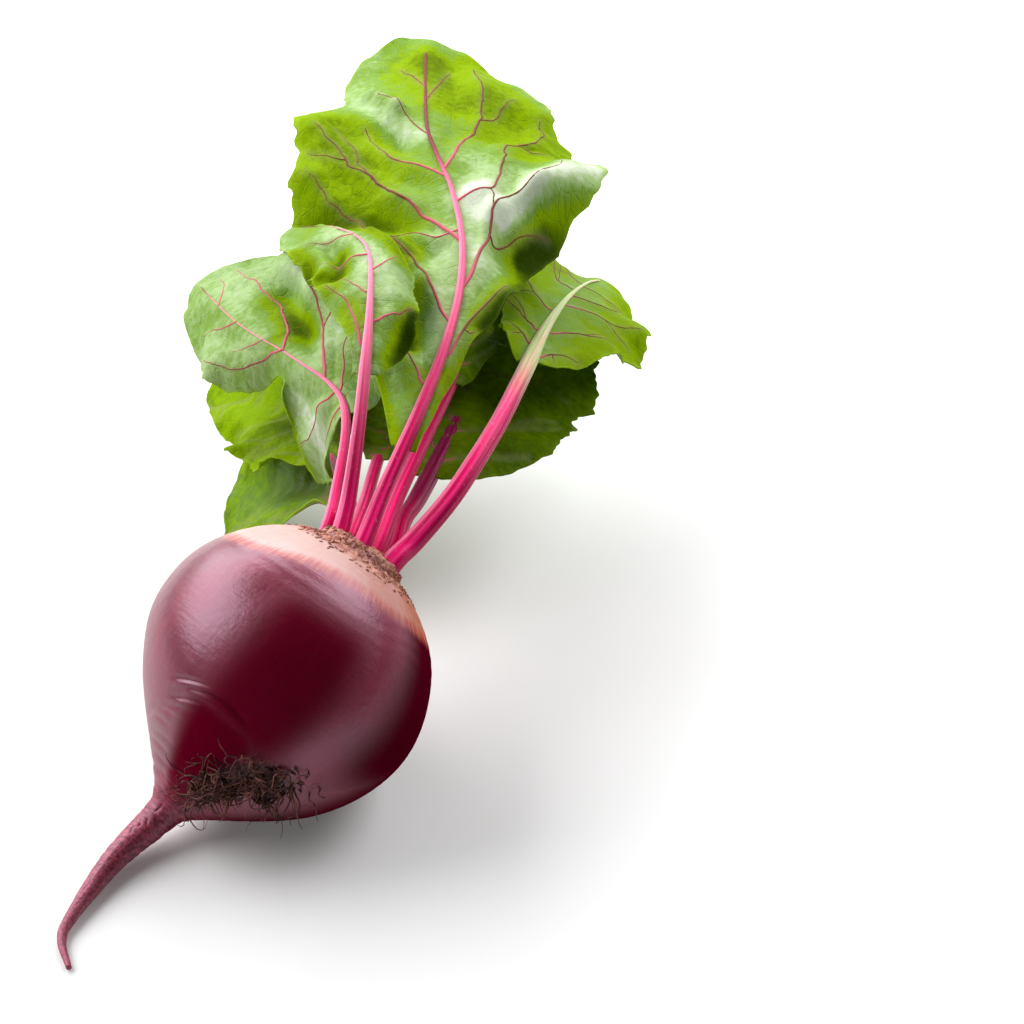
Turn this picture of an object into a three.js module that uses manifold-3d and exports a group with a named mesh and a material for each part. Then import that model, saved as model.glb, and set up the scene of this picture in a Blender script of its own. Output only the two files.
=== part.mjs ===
// A bunching beetroot lying on its side: one swollen root with its tail, and nine leaves that rise from
// its crown. Millimetres, +Z up. The origin is on the small flat on which the root rests.
import * as THREE from "three";
import { mergeVertices } from "three/addons/utils/BufferGeometryUtils.js";
import Module from "manifold-3d";

const wasm = await Module();
wasm.setup();

// ---------------------------------------------------------------- driving dimensions
const ROOT_RADIUS = 40; // of the swollen root, at its widest
const SHOULDER_TO_MIDDLE = 38; // along the axis, from the crown to the widest ring
const CROWN_HALF = 38; // how far the round half reaches, towards the crown
const TAIL_HALF = 51; // how far the tapering half reaches, towards the tail
const TAPER = 1.22; // how pointed that half is: 0.5 would be a ball
const COLLAR_RADIUS = 13.3; // the corky ring round the leaf stalks
const COLLAR_HEIGHT = 6;
const TAIL_RADIUS = 8; // of the cone inside the body that the tail runs out of
const TAIL_STARTS = 60; // along the axis, inside the body
const TAIL_SLIMS = 1.25; // how quickly the cone narrows: 1 would be straight
const TAIL_TIP_RADIUS = 0.8;
const MIDDLE_HEIGHT = 36.9; // of the widest ring's middle above the ground
const FLAT_DEPTH = 2; // how far the belly is pressed flat at the origin
const FLAT_REACH = 9; // how far round it

const STALK_WIDE = 1.1; // the stalk's width across the leaf, as a share of its depth
const GROOVE_DEPTH = 0.34; // of the groove along it, as a share of its radius
const MIDRIB_ENDS = 0.93; // the share of the blade that the midrib runs along
const MIDRIB_TIP = 0.35; // its radius there
const MIDRIB_SLIMS = 2; // how quickly it thins out, where its leaf says nothing else: 1 would be evenly
const BLADE_THICKNESS = 0.8;
const BLADE_FOOT = 1.2; // the width of a half blade at its foot and tip
const FILL = 1.1; // how soon a half blade widens from its foot, where its leaf says nothing else
const FILL_AT_TIP = 0.62; // and from its tip
const GAP = 0.35; // between touching pieces
const SOCKET_REACH = 14; // how far up a stalk its socket in the crown is cut to fit

const ROOT_RINGS = 40;
const ROOT_SIDES = 30;
const STALK_RINGS = 24;
const STALK_SIDES = 8;
const BLADE_ROWS = 23;
const BLADE_COLUMNS = 5; // on each side of the midrib

const SKIN = { color: 0x5e1230, roughness: 0.42 };
const STALK = { color: 0xc41a5c, roughness: 0.45 };
const BLADE = { color: 0x6f9e2c, roughness: 0.55 };

const vector = (p) => new THREE.Vector3(...p);
const clamp = THREE.MathUtils.clamp;
const lerp = THREE.MathUtils.lerp;
const radians = THREE.MathUtils.degToRad;

// ---------------------------------------------------------------- meshes and solids
// A closed mesh from its faces' corners, each a triangle of three points.
function meshOf(triangles) {
  const corners = new Float32Array(triangles.length * 9);
  triangles.flat().forEach((p, i) => p.toArray(corners, i * 3));
  const loose = new THREE.BufferGeometry();
  loose.setAttribute("position", new THREE.BufferAttribute(corners, 3));
  return mergeVertices(loose, 1e-4);
}

function solidOf(geometry) {
  return new wasm.Manifold(
    new wasm.Mesh({
      numProp: 3,
      vertProperties: geometry.getAttribute("position").array,
      triVerts: new Uint32Array(geometry.index.array),
    }),
  );
}

function geometryOf(solid) {
  const { vertProperties, triVerts } = solid.getMesh();
  const geometry = new THREE.BufferGeometry();
  geometry.setAttribute(
    "position",
    new THREE.BufferAttribute(vertProperties, 3),
  );
  geometry.setIndex(new THREE.BufferAttribute(triVerts, 1));
  return geometry;
}

function named(name, geometry, finish) {
  geometry.computeVertexNormals();
  const mesh = new THREE.Mesh(
    geometry,
    new THREE.MeshStandardMaterial({ ...finish, metalness: 0 }),
  );
  mesh.name = name;
  return mesh;
}

// A closed skin over rings of points, all with the same count, with a fan over each end.
function skinOver(rings) {
  const triangles = [];
  const count = rings[0].length;
  for (let i = 0; i + 1 < rings.length; i++)
    for (let j = 0; j < count; j++) {
      const [a, b] = [rings[i][j], rings[i][(j + 1) % count]];
      const [c, d] = [rings[i + 1][(j + 1) % count], rings[i + 1][j]];
      triangles.push([a, b, c], [a, c, d]);
    }
  const middle = (ring) =>
    ring
      .reduce((sum, p) => sum.add(p), new THREE.Vector3())
      .divideScalar(count);
  const [first, last] = [rings[0], rings[rings.length - 1]];
  const [start, end] = [middle(first), middle(last)];
  for (let j = 0; j < count; j++) {
    const k = (j + 1) % count;
    triangles.push([start, first[k], first[j]], [end, last[j], last[k]]);
  }
  return meshOf(triangles);
}

// ---------------------------------------------------------------- the root
const rootAxis = new THREE.CatmullRomCurve3(
  [
    [16, 20, 60.5], // the crown
    [5, 8, 49],
    [-5.5, -3.3, MIDDLE_HEIGHT],
    [-20.5, -15.5, 22.6],
    [-37, -26.5, 8.6],
    [-49.5, -40, 3.8],
    [-58.5, -59, 2],
    [-59.9, -66.5, 1.4],
    [-57, -75.5, 1],
  ].map(vector),
  false,
  "catmullrom",
  0.5,
);

const rootLength = rootAxis.getLength();

// The point of the axis at a distance h from the crown, past which the axis runs on straight.
function onAxis(h) {
  if (h < 0)
    return rootAxis.getPointAt(0).addScaledVector(rootAxis.getTangentAt(0), h);
  return rootAxis.getPointAt(Math.min(1, h / rootLength));
}

// The root's radius at a distance h along its axis from the crown: a body that is nearly a ball, rounder
// towards the crown and tapering into the tail with no crease, and the collar that stands on its shoulder.
function rootRadius(h) {
  const past = h - SHOULDER_TO_MIDDLE;
  const off = Math.min(1, Math.abs(past) / (past < 0 ? CROWN_HALF : TAIL_HALF));
  const body = ROOT_RADIUS * (1 - off * off) ** (past < 0 ? 0.5 : TAPER);
  const runOut = clamp((h - TAIL_STARTS) / (rootLength - TAIL_STARTS), 0, 1);
  const cone = (TAIL_RADIUS - TAIL_TIP_RADIUS) * (1 - runOut) ** TAIL_SLIMS;
  const tail = (TAIL_TIP_RADIUS + cone) * clamp((2 * past) / TAIL_HALF, 0, 1);
  const drop = Math.max(0, 1 - h / COLLAR_HEIGHT); // the collar's edge is rounded over
  const collar = h < COLLAR_HEIGHT ? COLLAR_RADIUS * (1 - 0.1 * drop ** 2) : 0;
  return Math.max(Math.hypot(body, tail), collar);
}

// The furrow down the underside, where the rootlets grow: its place, its reach each way, and its depth
// as a share of the radius.
const FURROW = { angle: 0.2, h: 78, wide: 0.34, long: 11, deep: 0.12 };

// The furrow, and the slow unevenness of a grown thing.
function rootShape(h, angle) {
  const onBody = Math.sin(Math.PI * clamp((0.5 * h) / SHOULDER_TO_MIDDLE, 0, 1));
  const lumps =
    0.009 * Math.sin(2 * angle + 0.6) + 0.008 * Math.sin(3 * angle + 0.05 * h);
  const turn = angle - FURROW.angle;
  const across = Math.atan2(Math.sin(turn), Math.cos(turn)) / FURROW.wide;
  const down = (h - FURROW.h) / FURROW.long;
  const furrow = FURROW.deep * Math.exp(-across * across - down * down);
  return 1 + lumps * onBody - furrow;
}

function rootSkin() {
  const rings = [];
  for (let i = 0; i <= ROOT_RINGS; i++) {
    const x = i / ROOT_RINGS;
    const share = lerp(x * x, x, 0.42); // closer together at the shoulder, where the skin turns fastest
    const h = share * rootLength;
    // A ring is square to the chord of the axis across it, so that wide rings turn slowly.
    const reach = 3 + 0.5 * rootRadius(h);
    const chord = onAxis(h + reach).sub(onAxis(h - reach)).normalize();
    const sideways = vector([0, 0, 1]).cross(chord).normalize();
    const upwards = chord.clone().cross(sideways);
    const ring = [];
    for (let j = 0; j < ROOT_SIDES; j++) {
      const angle = (j / ROOT_SIDES) * 2 * Math.PI;
      const r = rootRadius(h) * rootShape(h, angle);
      const p = onAxis(h)
        .addScaledVector(sideways, r * Math.cos(angle))
        .addScaledVector(upwards, r * Math.sin(angle));
      const pressed = FLAT_DEPTH * Math.exp(-((Math.hypot(p.x, p.y) / FLAT_REACH) ** 2));
      if (p.z < ROOT_RADIUS / 2) p.z = Math.max(p.z - pressed, 0);
      ring.push(p);
    }
    rings.push(ring);
  }
  return skinOver(rings);
}

// ---------------------------------------------------------------- the leaves
// spine: the middle of the stalk and midrib, from its foot in the crown to the tip of the blade.
// faces: the way the upturned side of the leaf faces, at the foot and at the tip.
// underUp: true where that side is the leaf's underside, on which its ribs stand out.
// stalk: the radius of the stalk at its foot and where the blade starts.
// bladeFrom: the share of the spine where the blade starts.
// slims: how quickly the midrib thins out.
// left, right: the blade's halves, as seen looking along the leaf with its upturned side on top.
//   width: the half's greatest width, and widest: the share of the blade where it has it.
//   lean: how far the half leans up from flat, in degrees, at the foot and at the tip of the blade.
//   curl: how much further it leans at the margin.
//   fill: how soon it widens from the blade's foot: 1 would be a plain bow, less widens sooner.
//   notches: where its margin is notched along the blade, how deep as a share of the width, and how far the
//     notch reaches towards the blade's foot and towards its tip.
// lobe: how far the blade's base reaches back.
// ruffle, waves, phase: the height, number and place of the waves in the margin.
const leaves = [
  {
    name: "top_leaf",
    spine: [
      [13.5, 12.7, 61.8],
      [17.1, 19, 67],
      [21.7, 29.5, 74],
      [30.2, 48.5, 84.5],
      [36.8, 70, 90.5],
      [41.1, 93.5, 94.5],
      [41.7, 116, 98],
      [38.5, 138.5, 101],
      [34.1, 154.5, 102.5],
      [30.5, 170.5, 103.5],
      [29.3, 196.5, 103],
      [28.5, 235.5, 99],
    ],
    faces: [[-0.1, -0.5, 0.9], [0, 0.1, 1]],
    underUp: true,
    stalk: [2.5, 1.9],
    bladeFrom: 0.15,
    left: {
      width: 45.5,
      widest: 0.6,
      lean: [-8, 4],
      curl: -10,
      fill: 0.66,
      notches: [[0.75, 0.16, 0.06, 0.06], [0.785, 0.32, 0.012, 0.19]],
    },
    right: {
      width: 54,
      widest: 0.62,
      lean: [-16, -4],
      curl: -26,
      fill: 2.6,
      notches: [[0.38, 0.38, 0.1, 0.08], [0.61, 0.2, 0.05, 0.08]],
    },
    lobe: 0,
    ruffle: 5,
    waves: 3.5,
    phase: 0.4,
  },
  {
    name: "front_leaf",
    spine: [
      [8.3, 17.2, 63.7],
      [10.8, 21.7, 69],
      [12.7, 27.5, 76],
      [15.2, 35, 91],
      [16.6, 46.5, 101],
      [17.4, 61, 107.5],
      [17.4, 76, 110.5],
      [16.5, 89, 110.5],
      [13.5, 99.5, 109],
      [7, 111, 105],
      [-2, 122.5, 98.5],
      [-9, 131, 92.5],
    ],
    faces: [[0.1, -0.8, 0.6], [-0.1, 0.2, 1]],
    underUp: true,
    stalk: [2.3, 1.5],
    bladeFrom: 0.33,
    left: { width: 19, widest: 0.6, lean: [-14, -4], curl: -18, notches: [[0.6, 0.18, 0.12, 0.3]] },
    right: { width: 13, widest: 0.36, lean: [-10, -16], curl: -26, notches: [[0.76, 0.7, 0.3, 0.2]] },
    lobe: 0,
    ruffle: 2.5,
    waves: 3,
    phase: 1.4,
  },
  {
    name: "left_leaf",
    spine: [
      [4.8, 21.4, 63],
      [7.2, 26.3, 67.1],
      [8.5, 34.5, 70],
      [10.5, 50.5, 77],
      [9.3, 63, 79],
      [4.7, 72.5, 79],
      [-2.5, 82, 78],
      [-9.9, 92.5, 76],
      [-18.2, 103, 74],
      [-25.7, 115.5, 71],
      [-34.3, 134.5, 66],
      [-40.5, 152.5, 60],
    ],
    faces: [[-0.2, -0.6, 0.8], [-0.4, -0.2, 0.9]],
    underUp: true,
    stalk: [1.7, 1.2],
    bladeFrom: 0.27,
    slims: 6,
    left: { width: 31, widest: 0.22, lean: [-48, -8], curl: -20, notches: [[0.38, 0.8, 0.12, 0.14]] },
    right: { width: 44, widest: 0.7, lean: [-16, -2], curl: -18, fill: 0.42 },
    lobe: 6,
    ruffle: 4,
    waves: 3.5,
    phase: 2.6,
  },
  {
    name: "bright_leaf",
    spine: [
      [8.8, 23.7, 57.4],
      [11.6, 30.4, 60.4],
      [11.5, 42.2, 58.9],
      [6.5, 67.5, 51.5],
      [-2, 97, 41],
      [-14, 123.5, 30.2],
      [-26.5, 140, 25],
      [-39.5, 152, 20.5],
    ],
    faces: [[0, 0.2, 0.9], [-0.2, -0.5, 0.8]],
    underUp: false,
    stalk: [2.1, 1.6],
    bladeFrom: 0.38,
    left: { width: 19, widest: 0.42, lean: [6, 8], curl: -20 },
    right: { width: 22, widest: 0.64, lean: [8, 6], curl: -26 },
    lobe: 0,
    ruffle: 3,
    waves: 3,
    phase: 0.2,
  },
  {
    name: "low_leaf",
    spine: [
      [14.2, 22.5, 54],
      [18, 29.2, 56.8],
      [14.8, 43.7, 54.2],
      [5.8, 66.5, 41.5],
      [-2, 84.5, 29.5],
      [-9.9, 99.5, 18.5],
      [-19, 113, 9],
      [-30, 127, 3],
    ],
    faces: [[0, 0.1, 0.9], [-0.1, -0.45, 0.85]],
    underUp: false,
    stalk: [2.4, 1.7],
    bladeFrom: 0.34,
    left: { width: 24, widest: 0.62, lean: [4, -14], curl: -10 },
    right: { width: 24, widest: 0.74, lean: [14, 34], curl: -14 },
    lobe: 0,
    ruffle: 2.5,
    waves: 3,
    phase: 1.1,
  },
  {
    name: "right_leaf",
    spine: [
      [20.9, 12.3, 57.2],
      [24.7, 16.7, 60.4],
      [29.6, 22.5, 62],
      [38.8, 30.3, 69.5],
      [45.6, 41.1, 74],
      [52.1, 56.5, 76],
      [56.9, 72.5, 76],
      [61.2, 90.5, 74],
      [66.2, 114.5, 69],
      [72.8, 141.5, 61],
      [79.5, 166.5, 50],
      [85.5, 186.5, 38],
    ],
    faces: [[-0.3, -0.5, 0.8], [0.2, 0, 1]],
    underUp: true,
    stalk: [2.9, 2.2],
    bladeFrom: 0.47,
    left: { width: 16, widest: 0.5, lean: [10, 8], curl: -14 },
    right: { width: 26, widest: 0.52, lean: [-10, -8], curl: -30 },
    lobe: 4,
    ruffle: 4,
    waves: 3,
    phase: 0.9,
  },
  {
    name: "inner_leaf",
    spine: [
      [16.8, 17.3, 56.3],
      [20.2, 24.5, 60.4],
      [23.6, 37.5, 63],
      [30.1, 57.5, 67],
      [37.6, 85, 68],
      [42.6, 111, 66],
      [45.7, 138.5, 62],
      [44.5, 164.5, 55],
      [42, 184.5, 47],
    ],
    faces: [[0, 0.3, 0.9], [0.1, 0, 1]],
    underUp: false,
    stalk: [2.4, 2.1],
    bladeFrom: 0.42,
    left: { width: 25, widest: 0.52, lean: [9, 9], curl: -24 },
    right: { width: 10, widest: 0.5, lean: [-4, -4], curl: -16 },
    lobe: 3,
    ruffle: 3,
    waves: 3,
    phase: 2.2,
  },
  {
    name: "back_leaf",
    spine: [
      [21, 19.5, 53.5],
      [24.2, 26, 57],
      [26.2, 35.7, 58.9],
      [29.6, 44.6, 58.9],
      [35, 62.6, 59.2],
      [40, 83.3, 58],
      [44.3, 105.8, 56],
      [49.7, 129.6, 53.9],
      [54.5, 152.7, 51],
      [57.6, 169.9, 47],
      [59.2, 181.9, 42.9],
    ],
    faces: [[0, 0.3, 0.9], [0.1, 0, 1]],
    underUp: false,
    stalk: [2, 2.5],
    bladeFrom: 0.22,
    left: { width: 12, widest: 0.5, lean: [-10, -6], curl: -12 },
    right: { width: 34, widest: 0.46, lean: [-12, -8], curl: -14 },
    lobe: 3,
    ruffle: 3,
    waves: 3,
    phase: 0.7,
  },
  {
    name: "young_leaf",
    spine: [
      [11.2, 18.4, 59.5],
      [13.4, 25, 63.4],
      [15.8, 36.5, 64],
      [18.2, 51.5, 65],
      [20.5, 68.5, 63.5],
      [22.2, 86.5, 61],
      [20.5, 106, 56],
    ],
    faces: [[0, 0.3, 0.9], [0, 0, 1]],
    underUp: false,
    stalk: [2, 1.6],
    bladeFrom: 0.42,
    left: { width: 14, widest: 0.56, lean: [12, 8], curl: -24 },
    right: { width: 12, widest: 0.56, lean: [12, 8], curl: -22 },
    lobe: 0,
    ruffle: 2,
    waves: 2.5,
    phase: 0.1,
  },
];

function spineOf(leaf) {
  const points = leaf.spine.map(vector);
  return new THREE.CatmullRomCurve3(points, false, "catmullrom", 0.5);
}

// At a share u of a leaf's spine: the point there, the way the leaf runs, the way its upturned side faces,
// and the way to its right.
function leafFrame(leaf, spine, u) {
  const along = spine.getTangentAt(u);
  const facing = vector(leaf.faces[0]).lerp(vector(leaf.faces[1]), u);
  const up = facing.addScaledVector(along, -facing.dot(along)).normalize();
  return {
    origin: spine.getPointAt(u),
    along,
    up,
    right: along.clone().cross(up),
  };
}

// The radius of the stalk and, inside the blade, of the midrib: broad at the foot, then a long taper.
function ribRadius(leaf, u) {
  const [foot, neck] = leaf.stalk;
  const end = lerp(leaf.bladeFrom, 1, MIDRIB_ENDS);
  if (u < leaf.bladeFrom) {
    const down = 1 - u / leaf.bladeFrom;
    return neck + (foot - neck) * down ** 1.6;
  }
  const on = clamp((u - leaf.bladeFrom) / (end - leaf.bladeFrom), 0, 1);
  return MIDRIB_TIP + (neck - MIDRIB_TIP) * (1 - on) ** (leaf.slims ?? MIDRIB_SLIMS);
}

// A stalk with its midrib: round below, flat to hollow on the leaf's upper side.
function stalkSkin(leaf, spine, from, to, rings, swell) {
  const turned = leaf.underUp ? -1 : 1; // the side that its groove is on
  const skin = [];
  for (let i = 0; i <= rings; i++) {
    const u = lerp(from, to, (i / rings) ** 1.15);
    const { origin, up, right } = leafFrame(leaf, spine, u);
    const r = ribRadius(leaf, u);
    const ring = [];
    for (let j = 0; j < STALK_SIDES; j++) {
      const angle = ((j + 0.5) / STALK_SIDES) * 2 * Math.PI;
      const groove = Math.max(0, Math.sin(angle) * turned);
      const reach = r * (1 - GROOVE_DEPTH * groove ** 3) + swell;
      ring.push(
        origin
          .clone()
          .addScaledVector(right, -reach * STALK_WIDE * Math.cos(angle))
          .addScaledVector(up, reach * Math.sin(angle)),
      );
    }
    skin.push(ring);
  }
  return skinOver(skin);
}

// A half blade's width at a share a of its length, on side -1 (left) or 1 (right), with its scalloped edge.
function bladeWidth(leaf, a, side) {
  const { width, widest, fill = FILL, notches = [] } = side < 0 ? leaf.left : leaf.right;
  const form = Math.sin(Math.PI * a ** (Math.log(0.5) / Math.log(widest)));
  let cut = 1;
  for (const [at, deep, before, after] of notches) {
    const reach = a < at ? before : after;
    cut *= 1 - deep * Math.exp(-(((a - at) / reach) ** 2));
  }
  const turn = 2 * Math.PI;
  const scallops =
    0.06 * Math.sin(turn * (3 * a + 0.31 * side) + 2 * leaf.phase) +
    0.04 * Math.sin(turn * (7 * a + 0.17 * side) + 5 * leaf.phase);
  return BLADE_FOOT + width * cut * form ** lerp(fill, FILL_AT_TIP, a) * (1 + scallops * form);
}

// A point of the blade's middle surface: a along it, t from the midrib (0) to the margin (1).
function bladePoint(leaf, spine, a, t, side) {
  const u = lerp(leaf.bladeFrom, 1, a);
  const { origin, along, up, right } = leafFrame(leaf, spine, u);
  const { lean, curl } = side < 0 ? leaf.left : leaf.right;
  const width = bladeWidth(leaf, a, side) * t;
  const steps = 8;
  let out = a < MIDRIB_ENDS ? ribRadius(leaf, u) * STALK_WIDE + GAP : 0; // clear of the midrib
  let rise = 0;
  for (let k = 0; k < steps; k++) {
    const x = ((k + 0.5) / steps) * t;
    const angle = radians(lerp(lean[0], lean[1], a) + curl * x ** 1.5);
    out += (Math.cos(angle) * width) / steps;
    rise += (Math.sin(angle) * width) / steps;
  }
  const wave = 2 * Math.PI * (leaf.waves * a + 0.27 * side) + leaf.phase;
  const swell = leaf.ruffle * Math.sin(Math.PI * a) ** 0.5;
  rise += swell * t ** 1.8 * Math.sin(wave);
  const lobe = leaf.lobe * (1 - a) ** 3 * Math.min(1, 10 * a);
  const forth = (0.35 * swell * Math.cos(wave) - lobe) * t * t;
  return origin
    .addScaledVector(along, forth)
    .addScaledVector(right, side * out)
    .addScaledVector(up, rise);
}

// The blade: two faces cut into triangles alike, a wall round the edge, and a slot for the midrib.
function bladeSkin(leaf, spine) {
  const shares = [];
  for (let i = 0; i <= BLADE_ROWS; i++) {
    const x = i / BLADE_ROWS;
    shares.push(0.985 * (x - 0.1 * Math.sin(2 * Math.PI * x)));
  }
  const reach = (j) => 1 - (1 - j / BLADE_COLUMNS) ** 1.2;
  const step = 1e-3;
  const half = BLADE_THICKNESS / 2;
  const triangles = [];
  for (const side of [-1, 1]) {
    const upper = [];
    const lower = [];
    for (const a of shares) {
      const rows = [[], []];
      for (let j = 0; j <= BLADE_COLUMNS; j++) {
        const t = reach(j);
        const p = bladePoint(leaf, spine, a, t, side);
        const merged = a >= MIDRIB_ENDS && j === 0;
        const da = bladePoint(leaf, spine, Math.min(a + step, 1), t, side).sub(
          bladePoint(leaf, spine, Math.max(a - step, 0), t, side),
        );
        const dt = bladePoint(leaf, spine, a, Math.min(t + step, 1), side).sub(
          bladePoint(leaf, spine, a, Math.max(t - step, 0), side),
        );
        const normal = merged
          ? leafFrame(leaf, spine, lerp(leaf.bladeFrom, 1, a)).up
          : dt.cross(da).multiplyScalar(-side).negate().normalize();
        const above = p.clone().addScaledVector(normal, half);
        const below = p.clone().addScaledVector(normal, -half);
        above.z = Math.max(above.z, BLADE_THICKNESS); // it lies flat where it meets the ground
        below.z = Math.max(below.z, 0);
        rows[0].push(above);
        rows[1].push(below);
      }
      upper.push(rows[0]);
      lower.push(rows[1]);
    }
    const face = (a, b, c) => triangles.push(side > 0 ? [a, b, c] : [a, c, b]);
    const quad = (a, b, c, d) => {
      face(a, b, c);
      face(a, c, d);
    };
    const last = shares.length - 1;
    for (let i = 0; i < last; i++) {
      for (let j = 0; j < BLADE_COLUMNS; j++) {
        quad(upper[i][j], upper[i][j + 1], upper[i + 1][j + 1], upper[i + 1][j]);
        face(lower[i][j], lower[i + 1][j + 1], lower[i][j + 1]);
        face(lower[i][j], lower[i + 1][j], lower[i + 1][j + 1]);
      }
      const m = BLADE_COLUMNS;
      quad(upper[i][m], lower[i][m], lower[i + 1][m], upper[i + 1][m]);
      if (shares[i] < MIDRIB_ENDS)
        quad(lower[i][0], upper[i][0], upper[i + 1][0], lower[i + 1][0]);
    }
    for (let j = 0; j < BLADE_COLUMNS; j++) {
      quad(lower[0][j], lower[0][j + 1], upper[0][j + 1], upper[0][j]);
      quad(upper[last][j], upper[last][j + 1], lower[last][j + 1], lower[last][j]);
    }
  }
  return meshOf(triangles);
}

// ---------------------------------------------------------------- the plant
const beetroot = new THREE.Group();
let root = solidOf(rootSkin());
for (const leaf of leaves) {
  const spine = spineOf(leaf);
  const end = lerp(leaf.bladeFrom, 1, MIDRIB_ENDS);
  const length = spine.getLength();
  const socket = stalkSkin(leaf, spine, 0, SOCKET_REACH / length, 4, GAP);
  root = root.subtract(solidOf(socket));
  const foot = GAP / length;
  beetroot.add(
    named(
      leaf.name + "_stalk",
      stalkSkin(leaf, spine, foot, end - 2 * foot, STALK_RINGS, 0),
      STALK,
    ),
  );
  beetroot.add(named(leaf.name + "_blade", bladeSkin(leaf, spine), BLADE));
}
beetroot.add(named("taproot", geometryOf(root), SKIN));

export default beetroot;
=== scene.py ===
import math
from collections import namedtuple

import bpy
import numpy as np
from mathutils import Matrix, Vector, kdtree, noise


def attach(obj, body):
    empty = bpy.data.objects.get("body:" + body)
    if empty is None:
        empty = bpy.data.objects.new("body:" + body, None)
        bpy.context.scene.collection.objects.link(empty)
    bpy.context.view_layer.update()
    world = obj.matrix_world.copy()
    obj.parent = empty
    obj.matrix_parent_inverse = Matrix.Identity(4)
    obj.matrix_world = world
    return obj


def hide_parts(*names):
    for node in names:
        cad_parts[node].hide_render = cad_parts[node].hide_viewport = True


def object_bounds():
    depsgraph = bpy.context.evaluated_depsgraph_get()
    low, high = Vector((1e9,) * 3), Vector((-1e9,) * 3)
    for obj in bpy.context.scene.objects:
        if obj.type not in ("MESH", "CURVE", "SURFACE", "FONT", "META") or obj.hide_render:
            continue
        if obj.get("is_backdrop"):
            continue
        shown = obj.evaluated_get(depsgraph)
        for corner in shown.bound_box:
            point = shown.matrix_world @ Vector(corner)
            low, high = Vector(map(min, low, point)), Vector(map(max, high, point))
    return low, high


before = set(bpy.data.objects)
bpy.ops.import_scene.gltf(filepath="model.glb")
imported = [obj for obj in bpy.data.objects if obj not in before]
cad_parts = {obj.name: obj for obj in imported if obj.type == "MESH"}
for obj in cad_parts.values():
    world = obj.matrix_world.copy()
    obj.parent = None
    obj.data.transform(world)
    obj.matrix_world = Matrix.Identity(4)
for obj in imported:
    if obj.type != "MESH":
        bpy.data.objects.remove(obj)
cad_low, cad_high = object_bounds()

# ---- the root
# The root is one grown piece: a swollen body, the crown that the leaves rise from, and a tail that tapers
# and curls at its tip. Its thin waxy skin is burgundy, tan round the crown, and wrinkled where it narrows.
ROOT_AXIS = [
    (16, 20, 60.5), (5, 8, 49), (-5.5, -3.3, 36.9), (-20.5, -15.5, 22.6), (-37, -26.5, 8.6),
    (-49.5, -40, 3.8), (-58.5, -59, 2), (-59.9, -66.5, 1.4), (-57, -75.5, 1),
]
ROOT_RADIUS = 40
SHOULDER_TO_MIDDLE, CROWN_HALF, TAIL_HALF, TAPER = 38, 38, 51, 1.22
COLLAR_RADIUS, COLLAR_HEIGHT = 13.3, 6
TAIL_RADIUS, TAIL_STARTS, TAIL_SLIMS, TAIL_TIP_RADIUS = 8, 60, 1.25, 0.8
FLAT_DEPTH, FLAT_REACH = 2, 9
CORK_TO, CORK_RELIEF = 6.5, 0.5  # how far from the crown the cork reaches, and how rough it is
LOBE_RELIEF, PORE_RELIEF, SHOULDER_RELIEF = 0.22, 0.03, 0.05
RING_DEPTH, LINE_DEPTH = 0.32, 0.2  # the wrinkles round the tail and along it
CREASE_WIDE, LEAST_RADIUS = 0.6, 0.4
ROOT_RINGS, ROOT_SIDES = 400, 220


class Grown:
    """A smooth curve through points, read by shares of its length."""

    def __init__(self, points):
        p = np.array(points, float)
        p = np.vstack([2 * p[0] - p[1], p, 2 * p[-1] - p[-2]])
        knots = len(points) - 1
        t = np.linspace(0, knots, 150 * knots + 1)
        i = np.minimum(t.astype(int), knots - 1)
        x = (t - i)[:, None]
        a, b, c, d = p[i], p[i + 1], p[i + 2], p[i + 3]
        bend, twist = 2 * a - 5 * b + 4 * c - d, 3 * b - a - 3 * c + d
        self.places = 0.5 * (2 * b + (c - a) * x + bend * x**2 + twist * x**3)
        self.slopes = unit((c - a) + 2 * bend * x + 3 * twist * x**2)
        steps = np.linalg.norm(np.diff(self.places, axis=0), axis=1)
        self.lengths = np.concatenate([[0], np.cumsum(steps)])
        self.length = self.lengths[-1]

    def read(self, values, share):
        at = np.asarray(share, float) * self.length
        return np.stack([np.interp(at, self.lengths, values[:, k]) for k in range(3)], -1)

    def place(self, share):
        beyond = np.minimum(share, 0)[..., None] * self.length  # it runs on straight below its foot
        return self.read(self.places, share) + self.slopes[0] * beyond

    def along(self, share):
        return unit(self.read(self.slopes, share))


def unit(v):
    return v / np.linalg.norm(v, axis=-1, keepdims=True)


def smooth(low, high, x):
    x = np.clip((x - low) / (high - low), 0, 1)
    return x * x * (3 - 2 * x)


def grain(points, seed):
    """Smooth noise, from -1 to 1, at each of the points."""
    shift = Vector((seed, 2.7 * seed, -1.3 * seed))
    flat = points.reshape(-1, 3)
    return np.array([noise.noise(Vector(p) + shift) for p in flat]).reshape(points.shape[:-1])


def mesh_piece(name, points, faces, material, marks, edges=()):
    """A smooth mesh from points in mm, with its marks: values that are read at each point."""
    mesh = bpy.data.meshes.new(name)
    mesh.from_pydata((points * 0.001).tolist(), edges, faces)
    for key, values in marks.items():
        values = np.asarray(values, np.float32)
        kind, field = ("FLOAT", "value") if values.ndim == 1 else ("FLOAT_VECTOR", "vector")
        mesh.attributes.new(key, kind, "POINT").data.foreach_set(field, values.ravel())
    mesh.shade_smooth()
    mesh.materials.append(material)
    piece = bpy.data.objects.new(name, mesh)
    bpy.context.scene.collection.objects.link(piece)
    return piece


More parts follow.
